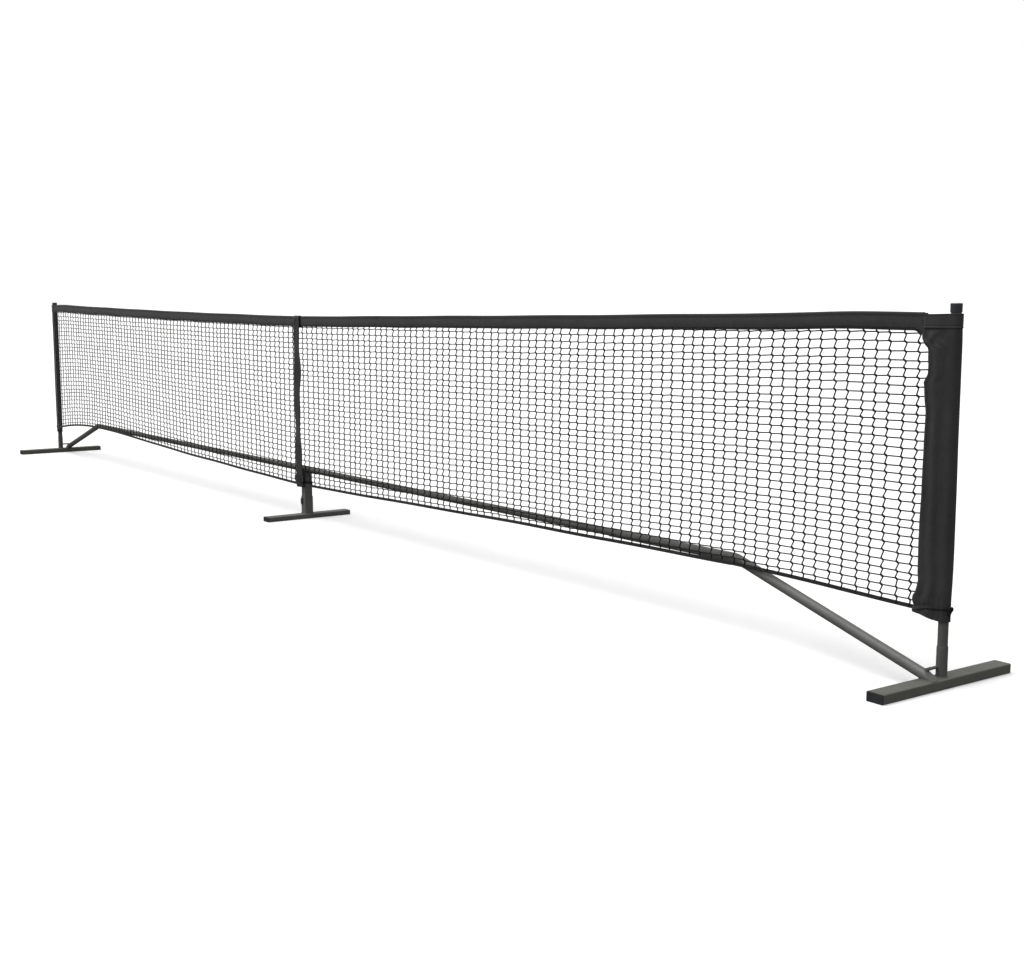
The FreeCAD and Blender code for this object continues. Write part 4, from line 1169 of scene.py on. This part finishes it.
# ------------------------------------------------------------------ floor, light, camera
def make_floor():
    """Pale to the camera, dark to bounced light."""
    sh = Shader("floor_pale")
    seen = sh.new("LightPath").outputs["Is Camera Ray"]
    sh.surface("Base Color", sh.mix(seen, (0.13, 0.13, 0.13), (0.93, 0.93, 0.93)))
    sh.surface("Emission Color", (1, 1, 1))
    sh.surface("Emission Strength", sh.calc("MULTIPLY", seen, 0.16))
    sh.surface("Roughness", 0.9)
    sh.surface("Specular IOR Level", 0.0)
    reach, z = 300, -0.0004                           # metres
    mesh = bpy.data.meshes.new("floor")
    corners = [(-reach, -reach, z), (reach, -reach, z), (reach, reach, z), (-reach, reach, z)]
    mesh.from_pydata(corners, [], [(0, 1, 2, 3)])
    floor = bpy.data.objects.new("floor", mesh)
    mesh.materials.append(sh.material)
    bpy.context.scene.collection.objects.link(floor)


def make_world(lit=0.45, seen=1.0):
    """White surroundings: lit is their strength as light, seen their strength to the camera."""
    world = bpy.data.worlds.new("studio")
    bpy.context.scene.world = world
    world.use_nodes = True
    tree = world.node_tree
    background = next(n for n in tree.nodes if n.type == "BACKGROUND")
    path = tree.nodes.new("ShaderNodeLightPath")
    strength = tree.nodes.new("ShaderNodeMath")
    strength.operation = "MULTIPLY_ADD"
    tree.links.new(path.outputs["Is Camera Ray"], strength.inputs[0])
    strength.inputs[1].default_value = seen - lit
    strength.inputs[2].default_value = lit
    background.inputs["Color"].default_value = (1, 1, 1, 1)
    tree.links.new(strength.outputs[0], background.inputs["Strength"])


def sun(name, direction, energy, degrees):
    light = bpy.data.lights.new(name, "SUN")
    light.energy = energy
    light.angle = math.radians(degrees)
    lamp = bpy.data.objects.new(name, light)
    lamp.rotation_euler = Vector(direction).to_track_quat("-Z", "Y").to_euler()
    bpy.context.scene.collection.objects.link(lamp)


def make_camera(place, yaw, pitch, roll, lens):
    """Angles in radians: yaw from +y towards +x, pitch downwards."""
    forward = Vector((math.sin(yaw) * math.cos(pitch), math.cos(yaw) * math.cos(pitch),
                      -math.sin(pitch)))
    level = Vector((math.cos(yaw), -math.sin(yaw), 0))
    upright = level.cross(forward)
    right = level * math.cos(roll) + upright * math.sin(roll)
    up = upright * math.cos(roll) - level * math.sin(roll)
    data = bpy.data.cameras.new("camera")
    data.sensor_width = 36.0
    data.lens = lens
    data.clip_end = 500.0
    camera = bpy.data.objects.new("camera", data)
    turn = Matrix((right, up, -forward)).transposed().to_4x4()
    camera.matrix_world = Matrix.Translation(Vector(place) * MM) @ turn
    bpy.context.scene.collection.objects.link(camera)
    bpy.context.scene.camera = camera


make_floor()
make_world()
sun("overhead", direction=(0.22, 0.34, -1.0), energy=2.3, degrees=60)
sun("fill", direction=(0.55, 0.8, -0.3), energy=0.30, degrees=60)
make_camera(place=(5451.70, -2809.57, 940.39), yaw=-0.94770, pitch=0.13370, roll=-0.0005,
            lens=49.0440234375)
bpy.context.scene.view_settings.view_transform = "Standard"
